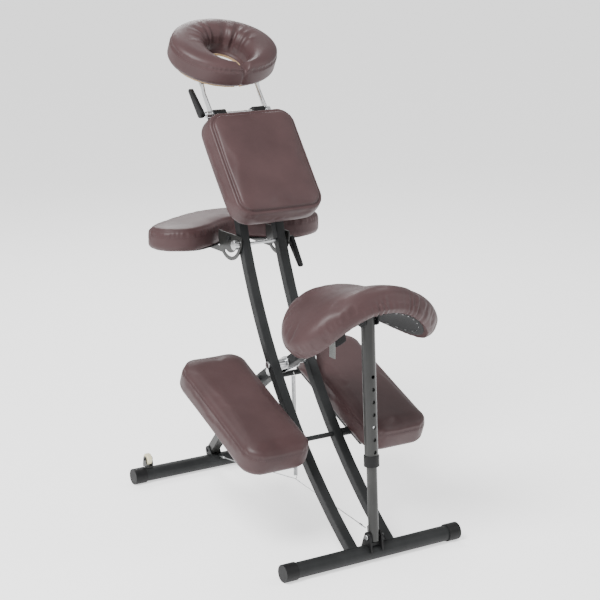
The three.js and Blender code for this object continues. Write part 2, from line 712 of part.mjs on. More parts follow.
function seatStrap() {
  const slope = (SEAT_BAR_END.z - crossing.z) / (crossing.y - SEAT_BAR_END.y);
  const at = { y: STRAP_Y, z: crossing.z + (crossing.y - STRAP_Y) * slope };
  const outer = box(BAR_WIDTH + 5, 25, BAR_DEPTH + 5, 0, 0, 0);
  const inner = box(BAR_WIDTH + 2 * GAP, 60, BAR_DEPTH + 2 * GAP, 0, 0, 0);
  const loop = cut(outer, inner).rotateX(-Math.atan(slope)).translate(0, at.y, at.z);
  const tail = box(2.2, 24, 44, BAR_WIDTH / 2 + 1.4, at.y - 4, at.z - 30);
  return join(loop, tail);
}

// ---- Knee pads ----

function kneeBracket(side) {
  const x = side * KNEE_TUBE_X;
  const ends = [-140, 178].map((along) => vector(x, onPad(KNEE, along, kneeTubeZ)));
  const tube = squareTube(new THREE.LineCurve3(...ends), KNEE_TUBE, KNEE_TUBE, 0, 1);
  const sleeve = rodX(KNEE_TUBE / 2, ...span(side, railOutside + 1.5, KNEE_TUBE_X + KNEE_TUBE), kneeAxle);
  const bore = rodX(KNEE_AXLE_RADIUS + RUNNING, -KNEE_AXLE_LENGTH, KNEE_AXLE_LENGTH, kneeAxle);
  return cut(join(tube, sleeve), bore);
}

// ---- Armrest ----

// One half of the kidney outline, from the middle of the near edge round to the far edge.
const ARM_HALF = [
  [0, -56],
  [45, -74],
  [95, -110],
  [165, -136],
  [225, -111],
  [245, -60],
  [225, -22],
  [150, 30],
  [70, 66],
  [0, 78],
];

function armOutline() {
  const mirrored = ARM_HALF.slice(1, -1).reverse().map(([x, y]) => [-x, y]);
  const points = [...ARM_HALF, ...mirrored].map(([x, y]) => new THREE.Vector3(x, y, 0));
  const loop = new THREE.CatmullRomCurve3(points, true, "centripetal");
  return loop.getSpacedPoints(36).slice(0, -1).map((p) => new THREE.Vector2(p.x, p.y));
}

function hanger(side) {
  const [x0, x1] = span(side, railOutside + GAP, railOutside + GAP + HANGER_PLATE);
  const arm = plate(linkShape(armClamp, ARM_PIVOT, 12, 11), x0, x1);
  const outer = railOutside + 2 * GAP + HANGER_PLATE + QUADRANT_PLATE + GAP;
  const stud = rodX(4, ...span(side, railOutside + 1, outer + 5), ARM_PIVOT, 16);
  const head = rodX(7, ...span(side, outer, outer + 5), ARM_PIVOT, 6);
  return cut(join(arm, stud, head), rodX(CRADLE_ROD + RUNNING, -90, 90, armClamp, 16));
}

function quadrant(side) {
  const near = railOutside + 2 * GAP + HANGER_PLATE;
  const [x0, x1] = span(side, near, near + QUADRANT_PLATE);
  const slotRadius = Math.hypot(armClamp.y - ARM_PIVOT.y, armClamp.z - ARM_PIVOT.z);
  const home = Math.atan2(armClamp.z - ARM_PIVOT.z, armClamp.y - ARM_PIVOT.y);
  const disc = rodX(QUADRANT_RADIUS, x0, x1, ARM_PIVOT, 36);
  const lower = box(400, 400, 400, 0, ARM_PIVOT.y, ARM_PIVOT.z + 12 - 200);
  const stem = box(QUADRANT_PLATE, 150, 14, (x0 + x1) / 2, ARM_PIVOT.y + 92, ARM.z + under(ARM) - GAP - 7);
  const slot = new THREE.Shape();
  const [first, last] = [home, home + rad(112)];
  slot.absarc(ARM_PIVOT.y, ARM_PIVOT.z, slotRadius + SLOT_HALF, first, last, false);
  slot.absarc(ARM_PIVOT.y, ARM_PIVOT.z, slotRadius - SLOT_HALF, last, first, true);
  const tools = [
    plate(slot, x0 - 1, x1 + 1, 8),
    rodX(SLOT_HALF, x0 - 1, x1 + 1, armClamp, 16),
    rodX(4 + RUNNING, x0 - 1, x1 + 1, ARM_PIVOT, 16),
  ];
  return cut(join(common(disc, lower), stem), ...tools);
}

// ---- Cam levers ----

// A tapered paddle on a short cam, with its length along +Z and its pin at the origin.
function leverShape() {
  const round = (radius, x0, x1, z) => rodX(radius, x0, x1, { y: 0, z }, 20);
  const half = LEVER_THICK / 2;
  const outline = linkShape({ y: 0, z: 4 }, { y: 0, z: LEVER_LENGTH }, LEVER_WIDE / 2, LEVER_NARROW / 2);
  return join(plate(outline, -half, half), round(5, -half - 2, half, 0));
}

function lever(x, at, pitch, flip) {
  const paddle = leverShape();
  if (flip) paddle.rotateZ(Math.PI);
  return paddle.rotateX(rad(pitch)).translate(x, at.y, at.z);
}

// ---- Chest pad ----

function chestFrame() {
  const lean = Math.atan2(CHEST_TOP.z - chestPivot.z, CHEST_TOP.y - chestPivot.y);
  const upArm = (distance) => ({
    y: chestPivot.y + distance * Math.cos(lean),
    z: chestPivot.z + distance * Math.sin(lean),
  });
  const top = Math.hypot(CHEST_TOP.y - chestPivot.y, CHEST_TOP.z - chestPivot.z);
  const pieces = SIDES.flatMap(([, side]) => {
    const x = (side * RAIL_SPACING) / 2;
    const path = new THREE.LineCurve3(vector(x, upArm(44)), vector(x, upArm(top)));
    const earSpan = span(side, railInside - GAP - 3, railInside - GAP);
    const ear = plate(linkShape(chestPivot, upArm(62), 12, 11), ...earSpan);
    const bridge = upArm(54);
    const weld = box(16, 16, 16, side * (railInside + 4), bridge.y, bridge.z, THREE.MathUtils.radToDeg(lean));
    const post = onPad(CHEST, -52, under(CHEST) - 12);
    const back = upArm(50);
    const strut = plate(linkShape(post, back, 8, 9), x - 2, x + 2);
    return [squareTube(path, CHEST_ARM, CHEST_ARM, 0, 1), ear, weld, strut];
  });
  const rung = ({ share, depth }) => {
    const at = onPad(CHEST, share * CHEST.length, under(CHEST) - GAP - depth / 2);
    return box(RAIL_SPACING + 30, 30, depth, 0, at.y, at.z, CHEST.pitch);
  };
  const body = join(pieces[0], ...pieces.slice(1), rung(RUNG_LOW), rung(RUNG_HIGH));
  return cut(body, rodX(CRADLE_ROD + RUNNING, -60, 60, chestPivot, 16));
}

function cradleBlock(side) {
  const [x0, x1] = span(side, BLOCK_X - BLOCK_WIDTH / 2, BLOCK_X + BLOCK_WIDTH / 2);
  const seat = { y: CHEST_TOP.y + 3, z: CHEST_TOP.z + 8 };
  const body = plate(linkShape(seat, CRADLE_PIVOT, 11, 11), x0, x1);
  const lean = THREE.MathUtils.radToDeg(Math.atan2(CHEST_TOP.z - chestPivot.z, CHEST_TOP.y - chestPivot.y));
  const along = vector((side * RAIL_SPACING) / 2, CHEST_TOP);
  const arm = box(CHEST_ARM + 2 * GAP, 60, CHEST_ARM + 2 * GAP, along.x, 0, 0, lean);
  arm.translate(0, along.y - 30 * cos(lean) + GAP, along.z - 30 * sin(lean) + GAP);
  return cut(body, arm, rodX(CRADLE_ROD + RUNNING, -120, 120, CRADLE_PIVOT, 16));
}

// ---- Face cradle ----

// A horseshoe: an oval ring with a narrow slit in the side nearest the sitter.
function horseshoe(grow, rim = grow) {
  const [a, b] = [CRADLE.width / 2 + grow, CRADLE.length / 2 + grow];
  const [c, d] = [FACE_HOLE.width / 2 - rim, FACE_HOLE.length / 2 - rim];
  const slit = FACE_HOLE.slit / 2 - Math.min(rim, 0);
  const open = Math.asin(slit / a);
  const innerOpen = Math.asin(slit / c);
  const down = -Math.PI / 2;
  const shape = new THREE.Shape();
  shape.absellipse(0, 0, a, b, down + open, down - open + 2 * Math.PI, false);
  shape.absellipse(0, FACE_HOLE.forward, c, d, down - innerOpen + 2 * Math.PI, down + innerOpen, true);
  shape.closePath();
  return shape;
}

function cradlePad() {
  const bevel = 9;
  const settings = { depth: CRADLE.pad - bevel, bevelSize: bevel, bevelThickness: bevel, bevelSegments: 3 };
  const ring = new THREE.ExtrudeGeometry(horseshoe(-bevel), { ...settings, curveSegments: 16 });
  return inPlane(ring.translate(0, 0, -CRADLE.pad + bevel), CRADLE);
}

function cradleBase() {
  const depth = CRADLE.board - GAP;
  const settings = { depth, bevelEnabled: false, curveSegments: 14 };
  const ring = new THREE.ExtrudeGeometry(horseshoe(-BASE_INSET, -2), settings);
  return inPlane(ring.translate(0, 0, under(CRADLE)), CRADLE);
}

function strut(side) {
  const low = under(CRADLE) - GAP;
  const foot = onPad(CRADLE, -62, low - 1.5);
  const knee = { y: foot.y - 8, z: foot.z - 32 };
  const x = side * STRUT_X;
  const [x0, x1] = [x - STRUT_PLATE / 2, x + STRUT_PLATE / 2];
  const lower = plate(linkShape(CRADLE_PIVOT, knee, 9, 7), x0, x1);
  const upper = plate(linkShape(knee, onPad(CRADLE, -62, low - 7), 7, 7), x0, x1);
  const flange = onPad(CRADLE, -45, low - 1.5);
  const pad = box(18, 52, 3, x, flange.y, flange.z, CRADLE.pitch);
  const stayX = x - side;
  const stay = rod(vector(stayX, CRADLE_PIVOT), vector(stayX, onPad(CRADLE, -26, low - 2)), 2.5);
  const body = join(lower, upper, pad, stay);
  return cut(body, rodX(CRADLE_ROD + RUNNING, x - 9, x + 9, CRADLE_PIVOT, 16));
}

// ---- Cable and spring ----

// The cable runs from the front foot, over the spring's hook, to the rear foot.
const cableEnds = [
  { y: cableFront.y - 4, z: cableFront.z },
  { y: cableRear.y + 16, z: cableRear.z + 2 },
];

function onCable([share, lift]) {
  const [front, rear] = cableEnds;
  return { y: front.y + (rear.y - front.y) * share, z: front.z + (rear.z - front.z) * share + lift };
}

function cable() {
  const extrudePath = new THREE.CatmullRomCurve3(CABLE_LIFT.map((point) => vector(0, onCable(point))));
  const section = new THREE.Shape().absarc(0, 0, CABLE_RADIUS, 0, 2 * Math.PI);
  return new THREE.ExtrudeGeometry(section, { extrudePath, steps: 30, curveSegments: 3 });
}

function spring() {
  const top = { y: crossing.y - 8, z: crossing.z - 24 };
  const hook = onCable(CABLE_LIFT[4]);
  const foot = { y: hook.y, z: hook.z + SPRING_RADIUS + CABLE_RADIUS };
  return rod(vector(0, foot), vector(0, top), SPRING_RADIUS, 12);
}

// ---- The chair, piece by piece ----

footBar("rear_foot_bar", rearBar);
add("front_foot_bar", frontFootBar(), STEEL);
for (const [end, bar] of [["rear", rearBar], ["front", frontBar]]) {
  for (const [name, side] of SIDES) footCap(end + "_cap_" + name, bar, side);
}

for (const [name, side] of SIDES) {
  add("rail_" + name, rail(side), STEEL);
  add("rail_plug_" + name, railPlug(side), BLACK_PLASTIC);
  add("wheel_fork_" + name, wheelFork(side), GREY_STEEL);
  add("wheel_" + name, wheel(side), CREAM);
  add("armrest_hanger_" + name, hanger(side), STEEL);
  add("armrest_quadrant_" + name, quadrant(side), GREY_STEEL);
  add("knee_bracket_" + name, kneeBracket(side), STEEL);
  add("cradle_block_" + name, cradleBlock(side), BLACK_PLASTIC);
  add("cradle_strut_" + name, strut(side), ZINC);
  const outline = roundedOutline(KNEE.width, KNEE.length, 48);
  padAndBoard("knee", "_" + name, KNEE, outline, new THREE.Vector2(), 14, 7, side * kneeX);
}

add("crossing_bolt", crossingBolt(), ZINC);
add("knee_axle", rodX(KNEE_AXLE_RADIUS, -KNEE_AXLE_LENGTH / 2, KNEE_AXLE_LENGTH / 2, kneeAxle), STEEL);
add("leg_tube", legTube(), STEEL);
add("leg_fork", legFork(), ZINC);
add("leg_extension", legExtension(), GREY_STEEL);
add("leg_button", legButton(), ZINC);

add("post_clevis", postClevis(), BLACK_PLASTIC);
add("post_clevis_bolt", bolt(4, 7, POST_INNER + 6 + GAP, POST_BASE), ZINC);
add("post_lower", postLower(), GREY_STEEL);
add("post_upper", postUpper(), GREY_STEEL);
add("post_collar", postCollar(), BLACK_PLASTIC);
add("post_button", postButton(), ZINC);

// The saddle is widest towards its back and narrower where the thighs pass.
const seatOutline = ovalOutline(SEAT.width, SEAT.length, 2.7).map((p) => {
  const forward = THREE.MathUtils.smoothstep(p.y, -0.15 * SEAT.length, 0.6 * SEAT.length);
  return new THREE.Vector2(p.x * (1 - SEAT_TAPER * forward), p.y);
});
padAndBoard("seat", "", SEAT, seatOutline, new THREE.Vector2(), 16, 5, 0, seatArch, seatRecess());
add("seat_bar", seatBar(), STEEL);
add("seat_bracket", seatBracket(), STEEL);
add("seat_bolt", bolt(4, 7, BRACKET.inside + FORK_PLATE + GAP, POST_TOP), ZINC);
add("seat_strap", seatStrap(), WEBBING);

padAndBoard("armrest", "", ARM, armOutline(), new THREE.Vector2(0, -10), 14, 6, 0);
const clampReach = railOutside + 3 * GAP + HANGER_PLATE + QUADRANT_PLATE;
const clampNut = rodX(12, ...span(-1, clampReach, clampReach + 13), armClamp, 20);
const clampRod = rodX(CRADLE_ROD, -clampReach - 6, clampReach + 2.4, armClamp, 16);
add("armrest_clamp_rod", join(clampRod, clampNut), ZINC);
add("armrest_lever", lever(clampReach + 4 + LEVER_THICK / 2 + 2, armClamp, 142, false), BLACK_PLASTIC);

padAndBoard("chest", "", CHEST, roundedOutline(CHEST.width, CHEST.length, 46), new THREE.Vector2(), 14, 6, 0);
add("chest_frame", chestFrame(), STEEL);
add("chest_bolt", bolt(CRADLE_ROD, 7, railOutside + GAP, chestPivot), ZINC);

const rodReach = STRUT_X + STRUT_PLATE / 2 + GAP;
const leverIn = rodReach + CRADLE_LEVER_OUT;
const cradleRod = rodX(CRADLE_ROD, -leverIn - 2.4, rodReach + 4, CRADLE_PIVOT, 16);
const cradleSleeve = rodX(8, ...span(-1, rodReach, leverIn), CRADLE_PIVOT);
add("cradle_rod", join(cradleRod, cradleSleeve, rodX(9, rodReach, rodReach + 9, CRADLE_PIVOT, 6)), ZINC);
add("cradle_pad", cradlePad(), LEATHER);
add("cradle_base", cradleBase(), PLYWOOD);
add("cradle_lever", lever(-leverIn - 4 - LEVER_THICK / 2 - 2, CRADLE_PIVOT, -44, true), BLACK_PLASTIC);

add("safety_cable", cable(), ZINC);
add("cable_spring", spring(), ZINC);

// The chair stands with its origin at the bottom centre of the box that holds it.
const bounds = new THREE.Box3().setFromObject(chair);
chair.position.set(0, -(bounds.min.y + bounds.max.y) / 2, -bounds.min.z);

export default chair;
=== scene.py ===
# %% [markdown]
# # A kneeling massage chair
# The sitter kneels on two pads, sits on a saddle and leans on a chest pad, with their arms on a
# kidney-shaped rest and their face in a padded ring. Bowed steel tubes carry it all and fold flat.
# The frame comes packed and measured, so this lesson gives it its surfaces: soft vinyl covers with
# seams and gathers, powder-coated steel, bright fasteners, and a quiet studio round it.

# %% Load the frame
import json
import math

import bmesh
import bpy
import numpy as np
from mathutils import Matrix, Vector
from mathutils.bvhtree import BVHTree


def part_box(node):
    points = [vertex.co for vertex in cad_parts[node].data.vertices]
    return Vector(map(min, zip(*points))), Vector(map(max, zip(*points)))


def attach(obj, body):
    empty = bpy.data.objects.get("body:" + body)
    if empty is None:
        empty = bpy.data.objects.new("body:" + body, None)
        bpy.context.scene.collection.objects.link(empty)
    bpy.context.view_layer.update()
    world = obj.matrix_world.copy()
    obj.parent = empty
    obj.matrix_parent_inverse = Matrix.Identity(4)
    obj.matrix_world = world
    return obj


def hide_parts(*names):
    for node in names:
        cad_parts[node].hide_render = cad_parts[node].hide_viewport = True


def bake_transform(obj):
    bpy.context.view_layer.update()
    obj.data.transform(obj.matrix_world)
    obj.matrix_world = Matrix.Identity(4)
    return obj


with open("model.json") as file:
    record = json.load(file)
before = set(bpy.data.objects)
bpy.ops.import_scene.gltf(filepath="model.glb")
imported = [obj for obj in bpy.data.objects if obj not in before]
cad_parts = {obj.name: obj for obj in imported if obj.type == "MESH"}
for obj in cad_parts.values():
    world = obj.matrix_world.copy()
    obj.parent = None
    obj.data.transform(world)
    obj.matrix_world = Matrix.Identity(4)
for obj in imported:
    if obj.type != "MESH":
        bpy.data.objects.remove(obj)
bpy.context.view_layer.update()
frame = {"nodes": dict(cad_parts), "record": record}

# %% [markdown]
# ## Where things are
# Every place is counted from the rear foot bar's axis, which stands at one known spot of the frame.
# A helper adds that spot, so that a measure reads as a maker would take it with a tape: so far
# forward of the rear bar, and so high above the floor.

# %% One helper for places
low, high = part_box("rear_foot_bar")
REAR_BAR = (low.y + high.y) / 2


def place(x, forward, up):
    return Vector((x, REAR_BAR + forward, up))


print("rear bar at y =", round(REAR_BAR, 4))

# %% [markdown]
# ## The camera
# A product picture of a tall, thin object is taken from well back with a long lens, which keeps the
# tubes nearly parallel. The camera stands behind the chair to the sitter's left, a little above it.

# %% Camera
TURN, RISE = math.radians(32.25), math.radians(14.16)
look = Vector((math.sin(TURN) * math.cos(RISE), math.cos(TURN) * math.cos(RISE), -math.sin(RISE)))

lens = bpy.data.cameras.new("camera")
lens.lens = 100.3
lens.sensor_width = 36
camera = bpy.data.objects.new("camera", lens)
bpy.context.scene.collection.objects.link(camera)
camera.location = place(-2.1215, -3.0408, 1.5711)
camera.rotation_mode = "QUATERNION"
camera.rotation_quaternion = look.to_track_quat("-Z", "Y")
bpy.context.scene.camera = camera
print("camera", [round(v, 3) for v in camera.location])

# %% [markdown]
# ## Finishes
# A finish is a small node tree. It could be painted by hand, but a procedural one follows the solid
# wherever it goes and has no seams. Each tree starts from Object coordinates, which are metres, so
# a noise of scale 900 has grains about a millimetre across. Small helpers wire up the noise, a
# colour ramp and a bump, and each finish says only what is its own.


# %% Node helpers
def new_finish(name, roughness, metallic=0.0, **sockets):
    finish = bpy.data.materials.new(name)
    finish.use_nodes = True
    shader = finish.node_tree.nodes["Principled BSDF"]
    shader.inputs["Roughness"].default_value = roughness
    shader.inputs["Metallic"].default_value = metallic
    for socket, value in sockets.items():
        shader.inputs[socket.replace("_", " ")].default_value = value
    return finish, finish.node_tree, shader


def coords(tree, stretch=(1, 1, 1), turn=0.0):
    where = tree.nodes.new("ShaderNodeTexCoord")
    mapping = tree.nodes.new("ShaderNodeMapping")
    mapping.inputs["Scale"].default_value = stretch
    mapping.inputs["Rotation"].default_value = (turn, 0, 0)
    tree.links.new(where.outputs["Object"], mapping.inputs["Vector"])
    return mapping.outputs["Vector"]


def noise_of(tree, vector, scale, detail=3.0, rough=0.55):
    cloud = tree.nodes.new("ShaderNodeTexNoise")
    cloud.inputs["Scale"].default_value = scale
    cloud.inputs["Detail"].default_value = detail
    cloud.inputs["Roughness"].default_value = rough
    tree.links.new(vector, cloud.inputs["Vector"])
    return cloud.outputs["Fac"]


def ramp(tree, factor, stops):
    bar = tree.nodes.new("ShaderNodeValToRGB")
    for element, (position, colour) in zip(bar.color_ramp.elements, stops):
        element.position, element.color = position, (*colour, 1)
    tree.links.new(factor, bar.inputs["Fac"])
    return bar.outputs["Color"]


def spread(tree, factor, lowest, highest):
    span = tree.nodes.new("ShaderNodeMapRange")
    span.inputs["To Min"].default_value = lowest
    span.inputs["To Max"].default_value = highest
    tree.links.new(factor, span.inputs["Value"])
    return span.outputs["Result"]


def bump(tree, shader, height, distance, strength=1.0, under=None):
    rise = tree.nodes.new("ShaderNodeBump")
    rise.inputs["Distance"].default_value = distance
    rise.inputs["Strength"].default_value = strength
    tree.links.new(height, rise.inputs["Height"])
    if under:
        tree.links.new(under, rise.inputs["Normal"])
    tree.links.new(rise.outputs["Normal"], shader.inputs["Normal"])
    return rise.outputs["Normal"]


print("node helpers ready")

# %% [markdown]
# ### Vinyl leather
# The covers are brown-maroon vinyl with a fine pebble grain. Voronoi cells make the pebbles, for
# leather grain is closed cells and not waves. Slow noises shift the colour and the gloss a little,
# as handling does, and painted shade darkens the hollows between the pebbles up close.


# %% Vinyl
def make_vinyl():
    finish, tree, shader = new_finish("vinyl", 0.45, Specular_IOR_Level=0.3)
    vector = coords(tree)
    cells = tree.nodes.new("ShaderNodeTexVoronoi")
    cells.feature = "DISTANCE_TO_EDGE"
    cells.inputs["Scale"].default_value = 620
    tree.links.new(vector, cells.inputs["Vector"])
    slow = noise_of(tree, vector, 9, 4)
    tint = ramp(tree, slow, [(0.3, (0.054, 0.0282, 0.0290)), (0.7, (0.073, 0.0392, 0.0402))])
    # Painted shade: the colour is darkened towards the cell edges, where shade falls into the
    # hollows between the pebbles.
    hollow_painted_shade = spread(tree, cells.outputs["Distance"], 0.72, 1.0)
    shade = tree.nodes.new("ShaderNodeMix")
    shade.data_type = "RGBA"
    shade.blend_type = "MULTIPLY"
    shade.inputs["Factor"].default_value = 0.6
    tree.links.new(tint, shade.inputs["A"])
    tree.links.new(hollow_painted_shade, shade.inputs["B"])
    tree.links.new(shade.outputs["Result"], shader.inputs["Base Color"])
    tree.links.new(spread(tree, noise_of(tree, vector, 30), 0.4, 0.53), shader.inputs["Roughness"])
    first = bump(tree, shader, cells.outputs["Distance"], 0.00025, 0.35)
    bump(tree, shader, noise_of(tree, vector, 75, 3), 0.0009, 0.16, first)
    return finish


VINYL = make_vinyl()
print("vinyl:", len(VINYL.node_tree.nodes), "nodes")

# %% [markdown]
# ### Steel, zinc, plastic, wood and felt
# Powder coat cures to a fine orange peel, so the steel gets a shallow bump and a broken gloss. Zinc
# plate is bright with faint streaks, moulded plastic has a spark-eroded grain, plywood shows its
# plies on the edge, and the lining is a felt that scatters light in all directions.


# %% Powder coat and zinc
def make_coat(name, dark, light, roughness, shine=0.5):
    finish, tree, shader = new_finish(name, roughness, Specular_IOR_Level=shine)
    vector = coords(tree)
    tint = ramp(tree, noise_of(tree, vector, 14, 5), [(0.3, dark), (0.72, light)])
    tree.links.new(tint, shader.inputs["Base Color"])
    gloss = spread(tree, noise_of(tree, vector, 60, 4), roughness - 0.07, roughness + 0.09)
    tree.links.new(gloss, shader.inputs["Roughness"])
    bump(tree, shader, noise_of(tree, vector, 1100, 2), 0.00012, 0.35)
    return finish


def make_zinc():
    finish, tree, shader = new_finish("zinc", 0.3, 1.0)
    streaks = noise_of(tree, coords(tree, (1, 1, 0.12)), 700, 2)
    tint = ramp(tree, streaks, [(0.3, (0.5, 0.51, 0.52)), (0.7, (0.68, 0.69, 0.7))])
    tree.links.new(tint, shader.inputs["Base Color"])
    tree.links.new(spread(tree, streaks, 0.22, 0.42), shader.inputs["Roughness"])
    bump(tree, shader, streaks, 0.00006, 0.3)
    return finish


DULL, SATIN = 0.22, 0.38  # how strongly a coat mirrors
DARK_STEEL = make_coat("dark_coat", (0.011, 0.0118, 0.0122), (0.018, 0.019, 0.0195), 0.52, DULL)
GREY_STEEL = make_coat("grey_coat", (0.017, 0.0173, 0.0165), (0.026, 0.0263, 0.025), 0.32, SATIN)
BLACK_PLASTIC = make_coat(
    "black_plastic", (0.0055, 0.0055, 0.006), (0.0095, 0.0095, 0.01), 0.5, DULL
)
CREAM = make_coat("cream_plastic", (0.62, 0.57, 0.38), (0.72, 0.67, 0.47), 0.4)
ZINC = make_zinc()
print("metal and plastic finishes ready")


# %% Plywood, felt and webbing
def make_plywood(name, slope):
    finish, tree, shader = new_finish(name, 0.55)
    vector = coords(tree, (1, 1, 1), -slope)
    plies = tree.nodes.new("ShaderNodeTexWave")
    plies.bands_direction = "Z"
    plies.inputs["Scale"].default_value = 105
    plies.inputs["Distortion"].default_value = 0.6
    tree.links.new(vector, plies.inputs["Vector"])
    tint = ramp(tree, plies.outputs["Fac"], [(0.2, (0.30, 0.17, 0.07)), (0.7, (0.6, 0.4, 0.2))])
    tree.links.new(tint, shader.inputs["Base Color"])
    bump(tree, shader, noise_of(tree, coords(tree, (1, 9, 9)), 90, 4), 0.0003, 0.3)
    return finish


def make_felt():
    finish, tree, shader = new_finish("felt", 0.95)
    vector = coords(tree)
    fibre = noise_of(tree, vector, 650, 5, 0.7)
    tint = ramp(tree, fibre, [(0.3, (0.008, 0.008, 0.0085)), (0.7, (0.03, 0.03, 0.031))])
    tree.links.new(tint, shader.inputs["Base Color"])
    bump(tree, shader, fibre, 0.0008, 0.6)
    return finish


def make_webbing():
    finish, tree, shader = new_finish("webbing", 0.85)
    weave = tree.nodes.new("ShaderNodeTexChecker")
    weave.inputs["Scale"].default_value = 620
    tree.links.new(coords(tree, (1, 1, 1), math.radians(45)), weave.inputs["Vector"])
    tint = ramp(tree, weave.outputs["Fac"], [(0.0, (0.16, 0.165, 0.16)), (1.0, (0.33, 0.34, 0.33))])
    tree.links.new(tint, shader.inputs["Base Color"])
    bump(tree, shader, weave.outputs["Fac"], 0.0004, 0.5)
    return finish


CRADLE_PITCH = 27.7
PLYWOOD = make_plywood("plywood", math.radians(CRADLE_PITCH))
FELT = make_felt()
WEBBING = make_webbing()
THREAD, _, shader = new_finish("thread", 0.6)
shader.inputs["Base Color"].default_value = (0.05, 0.025, 0.027, 1)
print("soft finishes ready")

# %% [markdown]
# ## Hard pieces
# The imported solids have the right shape, but their edges are razor sharp and their rounds are flat
# facets. A copy of each one is welded, its edges get a small bevel that catches the light as a
# rolled or moulded edge does, and its rounds are shaded smooth while its broad faces stay flat: the
# normals are weighted by area.


# %% Finish a solid
def link(name, mesh):
    piece = bpy.data.objects.new(name, mesh)
    bpy.context.scene.collection.objects.link(piece)
    return piece


def bake_modifiers(piece):
    graph = bpy.context.evaluated_depsgraph_get()
    mesh = bpy.data.meshes.new_from_object(piece.evaluated_get(graph))
    piece.modifiers.clear()
    piece.data = mesh


def smooth(mesh, angle=35):
    mesh.shade_smooth()
    mesh.set_sharp_from_angle(angle=math.radians(angle))


def face_out(mesh):
    work = bmesh.new()
    work.from_mesh(mesh)
    bmesh.ops.recalc_face_normals(work, faces=work.faces)
    work.to_mesh(mesh)
    work.free()


def finish_solid(node, finish, body, edge):
    mesh = frame["nodes"][node].data.copy()
    work = bmesh.new()
    work.from_mesh(mesh)
    bmesh.ops.remove_doubles(work, verts=work.verts, dist=2e-6)
    flat = math.radians(0.6)
    bmesh.ops.dissolve_limit(work, angle_limit=flat, verts=work.verts, edges=work.edges)
    work.to_mesh(mesh)
    work.free()
    mesh.materials.clear()
    mesh.materials.append(finish)
    smooth(mesh)
    piece = link(node + "_finished", mesh)
    bevel = piece.modifiers.new("edge", "BEVEL")
    bevel.width = edge
    bevel.segments = 3 if edge > 0.001 else 2
    bevel.limit_method = "ANGLE"
    bevel.angle_limit = math.radians(38)
    even = piece.modifiers.new("even", "WEIGHTED_NORMAL")
    even.keep_sharp = True
    bake_modifiers(piece)
    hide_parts(node)
    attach(piece, body)
    return piece


FINISHES = {
    "dark_steel": DARK_STEEL,
    "grey_steel": GREY_STEEL,
    "zinc": ZINC,
    "black_plastic": BLACK_PLASTIC,
    "plywood": PLYWOOD,
    "webbing": WEBBING,
    "cream_plastic": CREAM,
    "lining": FELT,
}
slot_of = {row["node"]: row["material_slot"] for row in frame["record"]["subparts"]}
bodies = frame["record"]["behaviour"]["bodies"]
body_of = {node: body for body, nodes in bodies.items() for node in nodes}
REMADE = {"safety_cable", "cable_spring", "rear_foot_bar"}
PADDED = ("knee", "seat", "armrest", "chest")
EDGE, EDGES = 0.0006, {"post_collar": 0.0012}
LEVERS = ("armrest_lever", "cradle_lever")
count = 0
for node, slot in slot_of.items():
    lined = node.startswith(PADDED) and "_board" in node
    if node in REMADE or node in LEVERS or slot == "leatherette" or lined:
        continue
    finish_solid(node, FINISHES[slot], body_of[node], EDGES.get(node, EDGE))
    count += 1
print(count, "hard solids finished")

# %% [markdown]
# The two cam levers are moulded grips with no straight edge on them. Each is remeshed into small
# even quads and relaxed, which rounds every edge at once, as years of hands would.

# %% Rounded grips
for node in LEVERS:
    mesh = frame["nodes"][node].data.copy()
    mesh.materials.clear()
    mesh.materials.append(BLACK_PLASTIC)
    grip = link(node + "_grip", mesh)
    fine = grip.modifiers.new("fine", "REMESH")
    fine.mode = "VOXEL"
    fine.voxel_size = 0.0013
    relax = grip.modifiers.new("relax", "SMOOTH")
    relax.factor = 0.5
    relax.iterations = 14
    bake_modifiers(grip)
    grip.data.shade_smooth()
    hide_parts(node)
    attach(grip, body_of[node])
print("grips have", len(grip.data.polygons), "faces")

# %% [markdown]
# The rear foot bar is the longest plain tube in view, so it is turned again with more sides.


# %% A round bar with many sides
def turned(name, start, end, profile, finish, sides=48):
    axis = end - start
    basis = axis.to_track_quat("Z", "Y").to_matrix()
    rings, faces = [], []
    for radius, share in profile:
        for i in range(sides):
            angle = 2 * math.pi * i / sides
            spoke = basis @ Vector((radius * math.cos(angle), radius * math.sin(angle), 0))
            rings.append(start + axis * share + spoke)
    rows = len(profile)
    for r in range(rows - 1):
        for i in range(sides):
            j = (i + 1) % sides
            faces.append((r * sides + i, r * sides + j, (r + 1) * sides + j, (r + 1) * sides + i))
    faces.append(tuple(reversed(range(sides))))
    faces.append(tuple(range((rows - 1) * sides, rows * sides)))
    mesh = bpy.data.meshes.new(name)
    mesh.from_pydata([tuple(v) for v in rings], [], faces)
    mesh.materials.append(finish)
    smooth(mesh)
    return link(name, mesh)


bar_radius = (high.z - low.z) / 2
bar_z = (low.z + high.z) / 2
bar = turned(
    "rear_bar_tube",
    Vector((low.x, REAR_BAR, bar_z)),
    Vector((high.x, REAR_BAR, bar_z)),
    [(bar_radius, 0), (bar_radius, 1)],
    DARK_STEEL,
)
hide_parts("rear_foot_bar")
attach(bar, "rails")
print("rear bar radius", round(bar_radius * 1000, 1), "mm")
